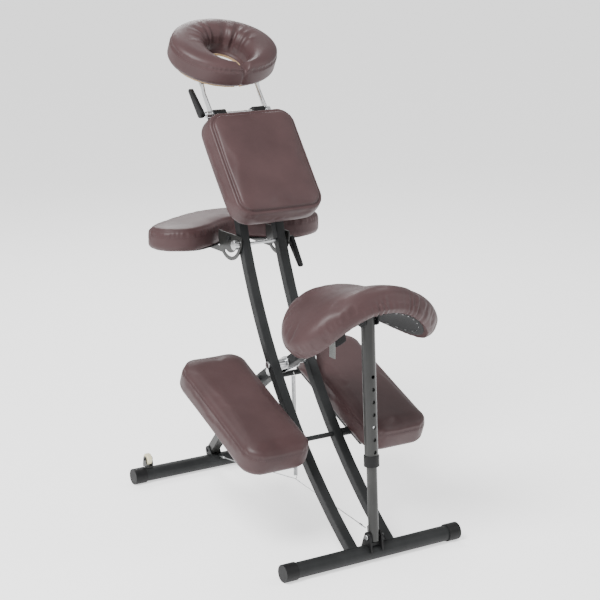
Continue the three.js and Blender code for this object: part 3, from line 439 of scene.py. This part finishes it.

# %% [markdown]
# ## Safety cable and spring
# A thin steel cable stops the feet from sliding apart, and a long coil spring holds it up off the
# floor. The cable is one tube on a smooth path, with a turned crimp near each end; the spring is
# one wire wound on a helix. When the leg folds, they bend between the rails and the leg.


# %% Wires
def wire(name, points, radius, finish, sides=8):
    path = bpy.data.curves.new(name, "CURVE")
    path.dimensions = "3D"
    path.bevel_depth = radius
    path.bevel_resolution = max(1, sides // 4)
    path.resolution_u = 4
    path.use_fill_caps = True
    spline = path.splines.new("POLY")
    spline.points.add(len(points) - 1)
    for point, at in zip(spline.points, points):
        point.co = (*at, 1)
    piece = link(name, path)
    graph = bpy.context.evaluated_depsgraph_get()
    bake = bpy.data.meshes.new_from_object(piece.evaluated_get(graph))
    bpy.data.objects.remove(piece)
    bake.materials.clear()
    bake.materials.append(finish)
    bake.shade_smooth()
    return link(name, bake)


def curve_between(a, b, c, d, t):
    """The point at share t from b to c on a smooth curve through a, b, c and d."""
    return 0.5 * (2 * b + (c - a) * t + (2 * a - 5 * b + 4 * c - d) * t**2
                  + (3 * b - a - 3 * c + d) * t**3)


def smooth_path(points, steps):
    points = [Vector(p) for p in points]
    points = [2 * points[0] - points[1]] + points + [2 * points[-1] - points[-2]]
    path = []
    for a, b, c, d in zip(points, points[1:], points[2:], points[3:]):
        path += [curve_between(a, b, c, d, k / steps) for k in range(steps)]
    path.append(points[-2])
    return path


print("wire helpers ready")

# %% Cable
front = place(0, 0.732, 0.041)
rear = place(0, 0.030, 0.071)
LIFTS = [(0, 0), (0.162, 0.0095), (0.379, 0.026), (0.509, 0.0357), (0.556, 0.0386),
         (0.604, 0.0345), (0.754, 0.0214), (0.899, 0.0094), (1, 0)]
route = [front.lerp(rear, share) + Vector((0, 0, lift)) for share, lift in LIFTS]
cable_path = smooth_path(route, 10)
CABLE = 0.00125  # radius
cable = wire("cable", cable_path, CABLE, ZINC)
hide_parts("safety_cable")
cable_length = sum((b - a).length for a, b in zip(cable_path, cable_path[1:]))
print("cable", round(cable_length, 3), "m")

# %% Crimps
CRIMP, CRIMP_AT = 0.013, 0.012  # length, and distance from the cable's end
SLEEVE = [(0.0016, 0), (0.0024, 0.07), (0.0025, 0.93), (0.0016, 1)]
crimps = []
for name, tip, inner in [("cable_crimp_rear", rear, cable_path[-8]),
                         ("cable_crimp_front", front, cable_path[7])]:
    out = (tip - inner).normalized()
    outer = tip - out * CRIMP_AT
    crimps.append(turned(name, outer - out * CRIMP, outer, SLEEVE, ZINC, sides=20))
print(len(crimps), "crimps")

# %% Spring
spring_low, spring_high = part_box("cable_spring")
hook = route[4]
top = Vector((0, (spring_low.y + spring_high.y) / 2 + 0.002, spring_high.z - 0.002))
COIL, WIRE, TURNS, PER_TURN = 0.0045, 0.0010, 84, 12
along = top - hook
coil_path = [hook + Vector((0, 0, -0.0012))]
for i in range(TURNS * PER_TURN + 1):
    share = i / (TURNS * PER_TURN)
    angle = 2 * math.pi * i / PER_TURN
    centre = hook + along * (0.035 + 0.93 * share)
    coil_path.append(centre + Vector((COIL * math.cos(angle), COIL * math.sin(angle), 0)))
coil_path.append(top)
spring = wire("spring_coil", coil_path, WIRE, ZINC, sides=4)
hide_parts("cable_spring")
for piece in (cable, spring, *crimps):
    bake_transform(piece)
print("spring of", TURNS, "turns,", len(spring.data.polygons), "faces")

# %% [markdown]
# ## Cushions
# A cushion here is foam on a board, wrapped in a cover. It could be lofted ring by ring, but then a
# ring with a hole and a plain pad would need two methods. Instead each cushion starts as its
# outline, filled and pulled down into a slab, and voxel-remeshed into even quads. Each point then
# knows how far it is from the edge, and a rule lifts the crown and rolls the edge over. Cloth under
# a light pressure puts the swell and the small unevenness into it. Seams and gathers come last,
# because remeshing would swallow them.


# %% Outlines
def rounded_outline(width, length, corner, per_corner=14):
    points = []
    for index, (sx, sy) in enumerate([(1, 1), (-1, 1), (-1, -1), (1, -1)]):
        cx, cy = sx * (width / 2 - corner), sy * (length / 2 - corner)
        for k in range(per_corner + 1):
            angle = math.pi / 2 * (index + k / per_corner)
            points.append((cx + corner * math.cos(angle), cy + corner * math.sin(angle)))
    return np.array(points)


def dense(points, step=0.0025):
    closed = np.vstack([points, points[:1]])
    pieces = []
    for a, b in zip(closed, closed[1:]):
        n = max(1, int(np.hypot(*(b - a)) / step))
        pieces.append(a + (b - a) * np.linspace(0, 1, n, endpoint=False)[:, None])
    return np.vstack(pieces)


def catmull_outline(points, steps=8):
    points = [Vector((*p, 0)) for p in points]
    path = []
    n = len(points)
    for i in range(n):
        a, b, c, d = (points[(i + k - 1) % n] for k in range(4))
        path += [curve_between(a, b, c, d, k / steps).xy[:] for k in range(steps)]
    return np.array(path)


print("outline helpers ready")


# %% From outline to slab
def slab(outline, thickness, voxel):
    work = bmesh.new()
    ring = [work.verts.new((x, y, 0)) for x, y in outline]
    face = work.faces.new(ring)
    grown = bmesh.ops.extrude_face_region(work, geom=[face])
    for item in grown["geom"]:
        if isinstance(item, bmesh.types.BMVert):
            item.co.z = -thickness
    bmesh.ops.triangulate(work, faces=work.faces)
    bmesh.ops.recalc_face_normals(work, faces=work.faces)
    mesh = bpy.data.meshes.new("slab")
    work.to_mesh(mesh)
    work.free()
    piece = link("slab", mesh)
    remesh = piece.modifiers.new("even", "REMESH")
    remesh.mode = "VOXEL"
    remesh.voxel_size = voxel
    bake_modifiers(piece)
    return piece


def get_points(mesh):
    co = np.empty(len(mesh.vertices) * 3)
    mesh.vertices.foreach_get("co", co)
    return co.reshape(-1, 3)


def set_points(mesh, co):
    mesh.vertices.foreach_set("co", co.ravel())
    mesh.update()


def get_normals(mesh):
    n = np.empty(len(mesh.vertices) * 3)
    mesh.vertex_normals.foreach_get("vector", n)
    return n.reshape(-1, 3)


def nearest(points, targets):
    """For each point, the index of the closest target and how far it is."""
    index = np.empty(len(points), int)
    far = np.empty(len(points))
    for start in range(0, len(points), 4000):
        part = points[start:start + 4000]
        d = ((part[:, None, :] - targets[None, :, :]) ** 2).sum(2)
        index[start:start + 4000] = d.argmin(1)
        far[start:start + 4000] = np.sqrt(d.min(1))
    return index, far


def smoothstep(value, lowest, highest):
    t = np.clip((value - lowest) / (highest - lowest), 0, 1)
    return t * t * (3 - 2 * t)


print("slab helpers ready")


# %% Roll the edges and raise the crown
def roll(co, edge, radius, thickness, crown, crown_reach):
    """Rounds the top edge to the radius that each edge point has, and domes the top."""
    index, depth = nearest(co[:, :2], edge)
    r = radius[index]
    share = np.clip((co[:, 2] + thickness) / thickness, 0, 1)
    depth = np.where(share < 0.98, np.minimum(depth, r * (1 - share)), depth)
    inside = np.clip(depth / r, 0, 1)
    top = -r + r * np.sqrt(np.clip(1 - (1 - inside) ** 2, 0, 1))
    dome = crown * (1 - (1 - np.clip(depth / crown_reach, 0, 1)) ** 2)
    lifted = np.where(share > 0.98, top + dome, -thickness + share * (thickness - r))
    out = co.copy()
    out[:, 2] = lifted
    return out


def press_tuck(co, edge, thickness, tuck=0.006):
    """Draws the last of the cover in under the board."""
    index, _ = nearest(co[:, :2], edge)
    near = smoothstep(-(co[:, 2] + thickness), -0.012, 0)
    inward = -co[:, :2] / np.maximum(np.linalg.norm(co[:, :2], axis=1), 1e-6)[:, None]
    out = co.copy()
    out[:, :2] += inward * (near * tuck)[:, None]
    return out


print("edge rules ready")


# %% Swell the cover with cloth
def swell(piece, thickness, pressure=4.0, cap=0.006, frames=20):
    before = get_points(piece.data)
    group = piece.vertex_groups.new(name="held")
    held = [int(i) for i in np.nonzero(before[:, 2] < -thickness + 0.004)[0]]
    group.add(held, 1.0, "REPLACE")
    cloth = piece.modifiers.new("cover", "CLOTH")
    cloth.settings.quality = 4
    cloth.settings.mass = 0.3
    cloth.settings.tension_stiffness = 25
    cloth.settings.compression_stiffness = 25
    cloth.settings.bending_stiffness = 4.0
    cloth.settings.use_pressure = True
    cloth.settings.uniform_pressure_force = pressure
    cloth.settings.effector_weights.gravity = 0
    cloth.settings.vertex_group_mass = "held"
    cloth.point_cache.frame_start, cloth.point_cache.frame_end = 1, frames
    for step in range(1, frames + 1):
        bpy.context.scene.frame_set(step)
    bake_modifiers(piece)
    piece.vertex_groups.clear()
    bpy.context.scene.frame_set(1)
    after = get_points(piece.data)
    move = after - before
    size = np.linalg.norm(move, axis=1)
    limit = np.minimum(1, cap / np.maximum(size, 1e-9))
    set_points(piece.data, before + move * limit[:, None])
    print("  swelled by up to", round(1000 * float((size * limit).max()), 1), "mm")


def refine(piece):
    finer = piece.modifiers.new("finer", "SUBSURF")
    finer.levels = finer.render_levels = 1
    bake_modifiers(piece)


print("cloth ready")


# %% Seams and gathers
def on_surface(piece, points, towards):
    """Where points shot at the cushion land, with the normal there."""
    tree = BVHTree.FromObject(piece, bpy.context.evaluated_depsgraph_get())
    landed, normals = [], []
    for point, way in zip(points, towards):
        spot, normal, _, _ = tree.ray_cast(Vector(point), Vector(way))
        if spot:
            landed.append(spot)
            normals.append(normal)
    return np.array(landed), np.array(normals)


def round_side(piece, outline, z, step=0.003):
    """A sewing line round the side of a cushion at one height."""
    outside, inside = ring_path(outline, -0.03, z, step), ring_path(outline, 0.0, z, step)
    return on_surface(piece, outside, inside - outside)


def round_top(piece, outline, inset, step=0.003):
    """A sewing line on the top of a cushion, this far in from its edge."""
    above = ring_path(outline, inset, 0.1, step)
    return on_surface(piece, above, np.tile([0, 0, -1], (len(above), 1)))


def top_groove(piece, outline, inset, depth, width):
    """Draws the top panel down along a line inside the edge."""
    co, normals = get_points(piece.data), get_normals(piece.data)
    _, far = nearest(co[:, :2], dense(outline, 0.0015))
    line = np.exp(-(((far - inset) / width) ** 2)) * smoothstep(normals[:, 2], 0.2, 0.6)
    set_points(piece.data, co - normals * (depth * line)[:, None])


def groove(piece, path, depth=0.0022, width=0.0035):
    """Presses a sewn line into the cover."""
    co, normals = get_points(piece.data), get_normals(piece.data)
    _, far = nearest(co, path)
    set_points(piece.data, co - normals * (depth * np.exp(-((far / width) ** 2)))[:, None])


def folds(phase, pitch, seed, sharp=2.0):
    """An uneven row of ridges along phase, from -1 to 1, the same on every run."""
    chance = np.random.default_rng(seed)
    total = np.zeros_like(phase)
    for k in range(4):
        wave = 2 * math.pi / (pitch * chance.uniform(0.75, 1.45))
        total += chance.uniform(0.5, 1.0) * np.sin(wave * phase + chance.uniform(0, 6.28))
    total /= 2.2
    return np.sign(total) * np.abs(total) ** (1 / sharp)


print("sewing helpers ready")

# %% [markdown]
# ### Stitches
# A seam is a hundred or more equal stitches in a row, so Geometry Nodes lay them: a path is
# resampled to one point for each stitch, and a short bead of thread is put on every point, turned
# along the path. The staples that hold the linings are the same beads, longer and of zinc.


# %% Stitch tree
def stitch_tree():
    tree = bpy.data.node_groups.new("stitches", "GeometryNodeTree")
    tree.is_modifier = True
    face = tree.interface
    face.new_socket("Geometry", in_out="INPUT", socket_type="NodeSocketGeometry")
    for name, value in (("Spacing", 0.006), ("Length", 0.0042), ("Thickness", 0.0009)):
        face.new_socket(name, in_out="INPUT", socket_type="NodeSocketFloat").default_value = value
    face.new_socket("Thread", in_out="INPUT", socket_type="NodeSocketMaterial")
    face.new_socket("Geometry", in_out="OUTPUT", socket_type="NodeSocketGeometry")
    make, join_up = tree.nodes.new, tree.links.new
    given, out = make("NodeGroupInput"), make("NodeGroupOutput")
    path, even = make("GeometryNodeMeshToCurve"), make("GeometryNodeResampleCurve")
    even.mode = "LENGTH"
    bead, size = make("GeometryNodeMeshUVSphere"), make("ShaderNodeCombineXYZ")
    bead.inputs["Segments"].default_value = 6
    bead.inputs["Rings"].default_value = 4
    bead.inputs["Radius"].default_value = 0.5
    tangent, align = make("GeometryNodeInputTangent"), make("FunctionNodeAlignRotationToVector")
    align.axis = "X"
    lay, real = make("GeometryNodeInstanceOnPoints"), make("GeometryNodeRealizeInstances")
    paint = make("GeometryNodeSetMaterial")
    join_up(given.outputs["Geometry"], path.inputs["Mesh"])
    join_up(path.outputs["Curve"], even.inputs["Curve"])
    join_up(given.outputs["Spacing"], even.inputs["Length"])
    join_up(even.outputs["Curve"], lay.inputs["Points"])
    join_up(bead.outputs["Mesh"], lay.inputs["Instance"])
    join_up(tangent.outputs["Tangent"], align.inputs["Vector"])
    join_up(align.outputs["Rotation"], lay.inputs["Rotation"])
    for axis, source in (("X", "Length"), ("Y", "Thickness"), ("Z", "Thickness")):
        join_up(given.outputs[source], size.inputs[axis])
    join_up(size.outputs["Vector"], lay.inputs["Scale"])
    join_up(lay.outputs["Instances"], real.inputs["Geometry"])
    join_up(real.outputs["Geometry"], paint.inputs["Geometry"])
    join_up(given.outputs["Thread"], paint.inputs["Material"])
    join_up(paint.outputs["Geometry"], out.inputs["Geometry"])
    return tree


STITCHES = stitch_tree()


def sew(name, path, finish, closed=True, **sizes):
    count = len(path)
    edges = [(i, (i + 1) % count) for i in range(count if closed else count - 1)]
    mesh = bpy.data.meshes.new(name)
    mesh.from_pydata([tuple(p) for p in path], edges, [])
    piece = link(name, mesh)
    rows = piece.modifiers.new("rows", "NODES")
    rows.node_group = STITCHES
    for item in STITCHES.interface.items_tree:
        if item.in_out == "INPUT" and item.name in sizes:
            rows[item.identifier] = sizes[item.name]
        if item.in_out == "INPUT" and item.name == "Thread":
            rows[item.identifier] = finish
    bake_modifiers(piece)
    piece.data.shade_smooth()
    return piece


print("stitch tree has", len(STITCHES.nodes), "nodes")

# %% [markdown]
# ### Putting a cushion in its place
# Each cushion is made lying flat, which keeps its rules simple, and is then tilted and carried to
# its board. Its stitches and its felt lining make the same journey.


# %% Place, line and attach
def settle(piece, pad, bend=None):
    co = get_points(piece.data)
    if bend:
        co = bend(co)
    set_points(piece.data, co)
    tilt = Matrix.Rotation(math.radians(pad["pitch"]), 4, "X")
    piece.data.transform(Matrix.Translation(place(pad["x"], pad["y"], pad["z"])) @ tilt)
    return piece


def own(piece, name, finish, slot, body, *nodes):
    piece.name = piece.data.name = name
    if finish:
        piece.data.materials.clear()
        piece.data.materials.append(finish)
    piece.data.shade_smooth()
    if nodes:
        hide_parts(*nodes)
    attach(piece, body)
    return piece


def lining(outline, depth, share, thick=0.0028):
    """A thin felt panel on the underside, with a rounded rim."""
    rings = [(share * 0.25, 0), (share * 0.5, 0), (share * 0.75, 0), (share, 0), (share, thick),
             (share * 0.75, thick), (share * 0.5, thick), (share * 0.25, thick)]
    n = len(outline)
    centre = outline.mean(0)
    points = [(*(centre + (p - centre) * s), -depth + z) for s, z in rings for p in outline]
    points += [(*centre, -depth), (*centre, -depth + thick)]
    faces = []
    for r in range(len(rings) - 1):
        for i in range(n):
            j = (i + 1) % n
            faces.append((r * n + i, (r + 1) * n + i, (r + 1) * n + j, r * n + j))
    last = (len(rings) - 1) * n
    for i in range(n):
        j = (i + 1) % n
        faces.append((i, j, len(points) - 2))
        faces.append((last + j, last + i, len(points) - 1))
    mesh = bpy.data.meshes.new("lining")
    mesh.from_pydata([tuple(map(float, p)) for p in points], [], faces)
    face_out(mesh)
    return link("lining", mesh)


def staple(outline, depth, share=0.86):
    """A row of wire staples that holds the lining to its board."""
    line = dense(outline) * share
    path = np.column_stack([line, np.full(len(line), -depth - 0.0003)])
    return sew("staples", path, ZINC, Spacing=0.026, Length=0.0095, Thickness=0.0012)


THREAD_LIFT = 0.0002


def stitch(name, path, out, pad, body, closed=True):
    rows = settle(sew("rows", path + out * THREAD_LIFT, THREAD, closed), pad)
    own(rows, name, None, "leatherette", body)


def line_under(pad, outline, depth, share, body, name, side=""):
    """The felt panel and its staples, under one pad."""
    own(settle(lining(outline, depth, share), pad), f"{name}_lining{side}", FELT, "lining", body)
    own(settle(staple(outline, depth), pad), f"{name}_staples{side}", None, "zinc", body)


print("placing helpers ready")


# %% One cushion, start to end
def cushion(pad, outline, radius, crown, crown_reach=0.05, voxel=0.005, cap=0.005):
    """A flat cushion in its own plane: z = 0 is the top of the rolled edge."""
    edge = dense(outline)
    radii = radius(edge) if callable(radius) else np.full(len(edge), radius)
    thickness = pad["thick"]
    piece = slab(outline, thickness, voxel)
    co = roll(get_points(piece.data), edge, radii, thickness, crown, crown_reach)
    set_points(piece.data, press_tuck(co, edge, thickness))
    swell(piece, thickness, cap=cap)
    refine(piece)
    return piece


def ring_path(outline, inset, z, step=0.004):
    """The outline moved inwards, as a path at one height."""
    points = dense(outline, step)
    ahead = np.roll(points, -1, 0) - np.roll(points, 1, 0)
    ahead /= np.linalg.norm(ahead, axis=1)[:, None]
    inward = np.stack([-ahead[:, 1], ahead[:, 0]], 1)
    return np.column_stack([points + inward * inset, np.full(len(points), z)])


print("cushion maker ready")

# %% [markdown]
# ### Knee pads
# Long pads with a boxed edge: a top panel sewn to a band, with the seam just below the rolled edge.
# One is made and the other is a copy of it.

# %% Knee pads
KNEE = {"x": 0.0, "y": 0.2973, "z": 0.3402, "pitch": 22.5, "thick": 0.0625}
KNEE_X = 0.171
knee_outline = rounded_outline(0.180, 0.394, 0.046)
knee = cushion(KNEE, knee_outline, 0.0135, 0.009, 0.05, cap=0.0022)
seam, _ = round_side(knee, knee_outline, -0.0105)
groove(knee, seam, 0.0018, 0.0024)
thread_path, out = round_side(knee, knee_outline, -0.0145)

for side, sign in (("left", -1), ("right", 1)):
    pad = dict(KNEE, x=sign * KNEE_X)
    nodes = (f"knee_pad_{side}", f"knee_board_{side}")
    copy = settle(link("copy", knee.data.copy()), pad)
    own(copy, f"knee_cushion_{side}", VINYL, "leatherette", "knee_pads", *nodes)
    stitch(f"knee_stitches_{side}", thread_path, out, pad, "knee_pads")
    line_under(pad, knee_outline, 0.0634, 0.9, "knee_pads", "knee", f"_{side}")
bpy.data.objects.remove(knee)
print("knee pads", len(copy.data.polygons), "faces each")

# %% [markdown]
# ### Chest pad
# The chest pad's top panel is set inside a raised rim: the seam is drawn in from the edge, so the
# rim stands as a soft roll round it.

# %% Chest pad
CHEST = {"x": 0.0, "y": 0.4765, "z": 0.894, "pitch": 52.8, "thick": 0.0585}
chest_outline = rounded_outline(0.254, 0.296, 0.046)
chest = cushion(CHEST, chest_outline, 0.014, 0.008, 0.07, cap=0.0022)
top_groove(chest, chest_outline, 0.0115, 0.0058, 0.0030)
thread_path, out = round_top(chest, chest_outline, 0.0155)
settle(chest, CHEST)
own(chest, "chest_cushion", VINYL, "leatherette", "chest", "chest_pad", "chest_board")
stitch("chest_stitches", thread_path, out, CHEST, "chest")
line_under(CHEST, chest_outline, 0.0594, 0.92, "chest", "chest")
print("chest pad", len(chest.data.polygons), "faces")

# %% [markdown]
# ### Armrest
# A kidney shape: the hollow goes round the chest, and both forearms lie across it.

# %% Armrest
ARM = {"x": 0.0, "y": 0.700, "z": 0.718, "pitch": 0.0, "thick": 0.0545}
HALF = [(0, -56), (45, -74), (95, -110), (165, -136), (225, -111),  # millimetres
        (245, -60), (225, -22), (150, 30), (70, 66), (0, 78)]
kidney = [(x / 1000, y / 1000) for x, y in HALF + [(-x, y) for x, y in HALF[-2:0:-1]]]
arm_outline = catmull_outline(kidney)
arm = cushion(ARM, arm_outline, 0.015, 0.006, cap=0.0022)
top_groove(arm, arm_outline, 0.0065, 0.0016, 0.0028)
thread_path, out = round_side(arm, arm_outline, -0.017)
settle(arm, ARM)
own(arm, "armrest_cushion", VINYL, "leatherette", "armrest", "armrest_pad", "armrest_board")
stitch("armrest_stitches", thread_path, out, ARM, "armrest")
line_under(ARM, arm_outline, 0.0555, 0.9, "armrest", "armrest")
print("armrest", len(arm.data.polygons), "faces")

# %% [markdown]
# ### Face cradle
# A ring open towards the sitter's chin. The inner edge is rolled much more than the outer one, and
# the cover is gathered into the hole on the far side, which gives the folds that fan out from it.

# %% Cradle outline
CRADLE = {"x": 0.0, "y": 0.678, "z": 1.165, "pitch": CRADLE_PITCH, "thick": 0.0575}
RING = (0.1455, 0.119)  # half its width, and half its length
HOLE = (0.054, 0.062)
HOLE_FORWARD, SLIT = -0.018, 0.0036
OUTER_ROLL, INNER_ROLL, SLIT_ROLL = 0.011, 0.023, 0.019


def horseshoe(count=96):
    (a, b), (c, d) = RING, HOLE
    start_out, start_in = math.asin(SLIT / a), math.asin(SLIT / c)
    outer = np.linspace(-math.pi / 2 + start_out, 1.5 * math.pi - start_out, count)
    inner = np.linspace(1.5 * math.pi - start_in, -math.pi / 2 + start_in, count // 2)
    ring = np.column_stack([a * np.cos(outer), b * np.sin(outer)])
    hole = np.column_stack([c * np.cos(inner), HOLE_FORWARD + d * np.sin(inner)])
    return np.vstack([ring, hole])


def cradle_radius(edge):
    reach = np.hypot(edge[:, 0] / RING[0], edge[:, 1] / RING[1])
    in_slit = (np.abs(edge[:, 0]) < SLIT + 1e-4) & (edge[:, 1] < 0)
    return np.where(in_slit, SLIT_ROLL, np.where(reach > 0.97, OUTER_ROLL, INNER_ROLL))


cradle_outline = horseshoe()
cradle = cushion(CRADLE, cradle_outline, cradle_radius, 0.011, 0.036, voxel=0.0042, cap=0.0025)
print("cradle slab", len(cradle.data.polygons), "faces")

# %% Cradle folds
co, normals = get_points(cradle.data), get_normals(cradle.data)
from_hole = np.hypot(co[:, 0] / HOLE[0], (co[:, 1] - HOLE_FORWARD) / HOLE[1])
around = np.arctan2(co[:, 1] - HOLE_FORWARD, co[:, 0])
far_side = smoothstep(np.sin(around), 0.0, 0.7)
fade = 1 - smoothstep(from_hole, 1.05, 2.15)
fade *= smoothstep(co[:, 2], -0.05, -0.015)
ridges = folds(around, 0.33, 4, 1.4) * 0.75 + folds(around, 0.17, 9) * 0.25
set_points(cradle.data, co + normals * (0.0034 * ridges * far_side * fade)[:, None])
print("cradle folds over", int((far_side * fade > 0.01).sum()), "points")

# %% Cradle seam
SEAM_LOW, SEAM_POINTS = -0.009, 240
turn = np.linspace(-1.53, 4.67, SEAM_POINTS)
rim = np.column_stack([np.cos(turn), np.sin(turn)])
level = np.full(SEAM_POINTS, SEAM_LOW)
outside = np.column_stack([rim * (0.19, 0.16), level])
centre = np.column_stack([rim * (0.1, 0.075), level])
seam, _ = on_surface(cradle, outside, centre - outside)
groove(cradle, seam, 0.0026, 0.0034)
lower = np.array([0, 0, 0.0055])
thread_path, out = on_surface(cradle, outside - lower, centre - outside)
settle(cradle, CRADLE)
own(cradle, "cradle_cushion", VINYL, "leatherette", "cradle", "cradle_pad")
stitch("cradle_stitches", thread_path, out, CRADLE, "cradle", closed=False)
print("cradle", len(cradle.data.polygons), "faces")

# %% [markdown]
# ### Saddle
# The seat is arched over its bar like a saddle on a horse, so that the thighs fall away to each
# side. It has a shallow dip across its middle, and its cover is gathered where it turns under at
# the back. The gathers run straight down the rolled edge.

# %% Saddle outline and bend
SEAT = {"x": 0.0, "y": 0.095, "z": 0.645, "pitch": -10.0, "thick": 0.0555}
SEAT_WIDTH, SEAT_LENGTH, ARCH, TAPER = 0.428, 0.280, 0.113, 0.24


def saddle_outline(power=2.7, count=120):
    turn = np.linspace(0, 2 * math.pi, count, endpoint=False)
    x = np.sign(np.cos(turn)) * np.abs(np.cos(turn)) ** (2 / power) * SEAT_WIDTH / 2
    y = np.sign(np.sin(turn)) * np.abs(np.sin(turn)) ** (2 / power) * SEAT_LENGTH / 2
    forward = smoothstep(y, -0.15 * SEAT_LENGTH, 0.6 * SEAT_LENGTH)
    return np.column_stack([x * (1 - TAPER * forward), y])


def saddle_bend(co):
    """Bends the flat seat over its arch, keeping its thickness square to the curve."""
    half = SEAT_WIDTH / 2
    share = np.clip(np.abs(co[:, 0]) / half, 0, 1.05)
    drop = -ARCH * share**2.2
    slope = -2.2 * ARCH / half * share**1.2 * np.sign(co[:, 0])
    root = np.sqrt(1 + slope**2)
    out = co.copy()
    out[:, 0] = co[:, 0] + (-slope / root) * co[:, 2]
    out[:, 2] = drop + co[:, 2] / root
    return out


seat_outline = saddle_outline()
seat = cushion(SEAT, seat_outline, 0.026, 0.006, 0.09, cap=0.0035)
print("saddle slab", len(seat.data.polygons), "faces")

# %% Saddle swell and gathers
co = get_points(seat.data)
upper = smoothstep(co[:, 2], -0.045, -0.004)
middle = 1 - smoothstep(np.abs(co[:, 0]), 0.06, 0.19)
pommel = -0.001 * np.exp(-(((co[:, 1] - 0.085) / 0.045) ** 2))
dip = -0.009 * np.exp(-(((co[:, 1] - 0.005) / 0.06) ** 2))
co[:, 2] += upper * middle * (pommel + dip)
set_points(seat.data, co)
normals = get_normals(seat.data)
rear = smoothstep(-co[:, 1], 0.095, 0.132)
right = smoothstep(co[:, 0], 0.045, 0.085)
middle_left = np.exp(-(((co[:, 0] + 0.02) / 0.045) ** 2))
middle_left *= 1 - smoothstep(co[:, 2], -0.036, -0.02)
ends = smoothstep(np.abs(co[:, 0]), 0.16, 0.2) * (1 - smoothstep(co[:, 2], -0.04, -0.02))
ridges = folds(co[:, 0], 0.019, 12, 1.3) * 0.7 + folds(co[:, 0], 0.01, 5, 1.2) * 0.3
tall = right * (1 - smoothstep(co[:, 2], -0.012, 0.0))
amount = 0.0024 * rear * tall + 0.0019 * rear * middle_left + 0.0005 * rear * ends
set_points(seat.data, co + normals * (ridges * amount)[:, None])
settle(seat, SEAT, saddle_bend)
own(seat, "seat_cushion", VINYL, "leatherette", "seat_frame", "seat_pad", "seat_board")
SEAT_LINING = 0.0566
panel = lining(seat_outline, SEAT_LINING, 0.92)
finer = panel.modifiers.new("finer", "SUBSURF")
finer.subdivision_type = "SIMPLE"
finer.levels = finer.render_levels = 2
bake_modifiers(panel)
own(settle(panel, SEAT, saddle_bend), "seat_lining", FELT, "lining", "seat_frame")
row = settle(staple(seat_outline, SEAT_LINING), SEAT, saddle_bend)
own(row, "seat_staples", None, "zinc", "seat_frame")
print("saddle", len(seat.data.polygons), "faces")

# %% [markdown]
# ### Strap tab
# A storage strap hangs on the seat bar, and its free end is a stiff dark tab of hook tape. It is a
# small curved sheet given a thickness, because a box would look like a block of wood.

# %% Strap tab
def tab(corner, along, down, bulge, thick):
    rows, columns = 5, 9
    points = []
    for r in range(rows):
        for c in range(columns):
            u, v = c / (columns - 1), r / (rows - 1)
            out = bulge * math.sin(math.pi * u) * (0.4 + 0.6 * v)
            points.append(corner + along * u + down * v + Vector((out, 0, 0)))
    faces = []
    for r in range(rows - 1):
        for c in range(columns - 1):
            here, below = r * columns + c, (r + 1) * columns + c
            faces.append((here, here + 1, below + 1, below))
    mesh = bpy.data.meshes.new("strap_tab")
    mesh.from_pydata([tuple(p) for p in points], [], faces)
    piece = link("strap_tab", mesh)
    body = piece.modifiers.new("body", "SOLIDIFY")
    body.thickness = thick
    edge = piece.modifiers.new("edge", "BEVEL")
    edge.width = thick / 3
    edge.limit_method = "ANGLE"
    finer = piece.modifiers.new("finer", "SUBSURF")
    finer.levels = finer.render_levels = 1
    bake_modifiers(piece)
    face_out(piece.data)
    return piece


flap = tab(place(0.0175, 0.193, 0.503), Vector((0, -0.044, 0.027)), Vector((0.002, -0.004, -0.027)),
           0.004, 0.0024)
own(flap, "strap_tab", FELT, "lining", "seat_frame")
print("tab", len(flap.data.polygons), "faces")

# %% [markdown]
# ## The studio
# A pale floor that runs past the edge of the picture needs no backdrop. One broad light stands high
# on the left, a weak one on the right, and a third in front of the chair gives the tubes a bright
# edge. The sky is plain white, so that shadows stay soft.

# %% Floor and lights
floor_mesh = bpy.data.meshes.new("floor")
FLOOR = 30.0
corners = [(-FLOOR, -FLOOR, 0), (FLOOR, -FLOOR, 0), (FLOOR, FLOOR, 0), (-FLOOR, FLOOR, 0)]
floor_mesh.from_pydata(corners, [], [(0, 1, 2, 3)])
floor = link("floor", floor_mesh)
FLOOR_PAINT, _, shader = new_finish("floor_paint", 0.9)
shader.inputs["Base Color"].default_value = (0.9, 0.9, 0.9, 1)
shader.inputs["Emission Color"].default_value = (1, 1, 1, 1)
shader.inputs["Emission Strength"].default_value = 1.0
floor_mesh.materials.append(FLOOR_PAINT)

sky = bpy.context.scene.world or bpy.data.worlds.new("studio")
bpy.context.scene.world = sky
sky.use_nodes = True
sky.node_tree.nodes["Background"].inputs["Color"].default_value = (1, 1, 1, 1)
sky.node_tree.nodes["Background"].inputs["Strength"].default_value = 0.7


def soft_light(name, at, aim, size, power):
    lamp = bpy.data.lights.new(name, "AREA")
    lamp.shape = "DISK"
    lamp.size = size
    lamp.energy = power
    light = bpy.data.objects.new(name, lamp)
    bpy.context.scene.collection.objects.link(light)
    light.location = at
    light.rotation_mode = "QUATERNION"
    light.rotation_quaternion = (aim - at).to_track_quat("-Z", "Y")
    return light


middle = place(0, 0.35, 0.7)
soft_light("key", place(-2.2, -0.6, 3.4), middle, 1.8, 230)
soft_light("fill", place(2.6, -1.4, 2.2), middle, 2.0, 25)
soft_light("rim", place(1.0, 3.2, 2.8), middle, 1.6, 60)
print("floor and three lights")
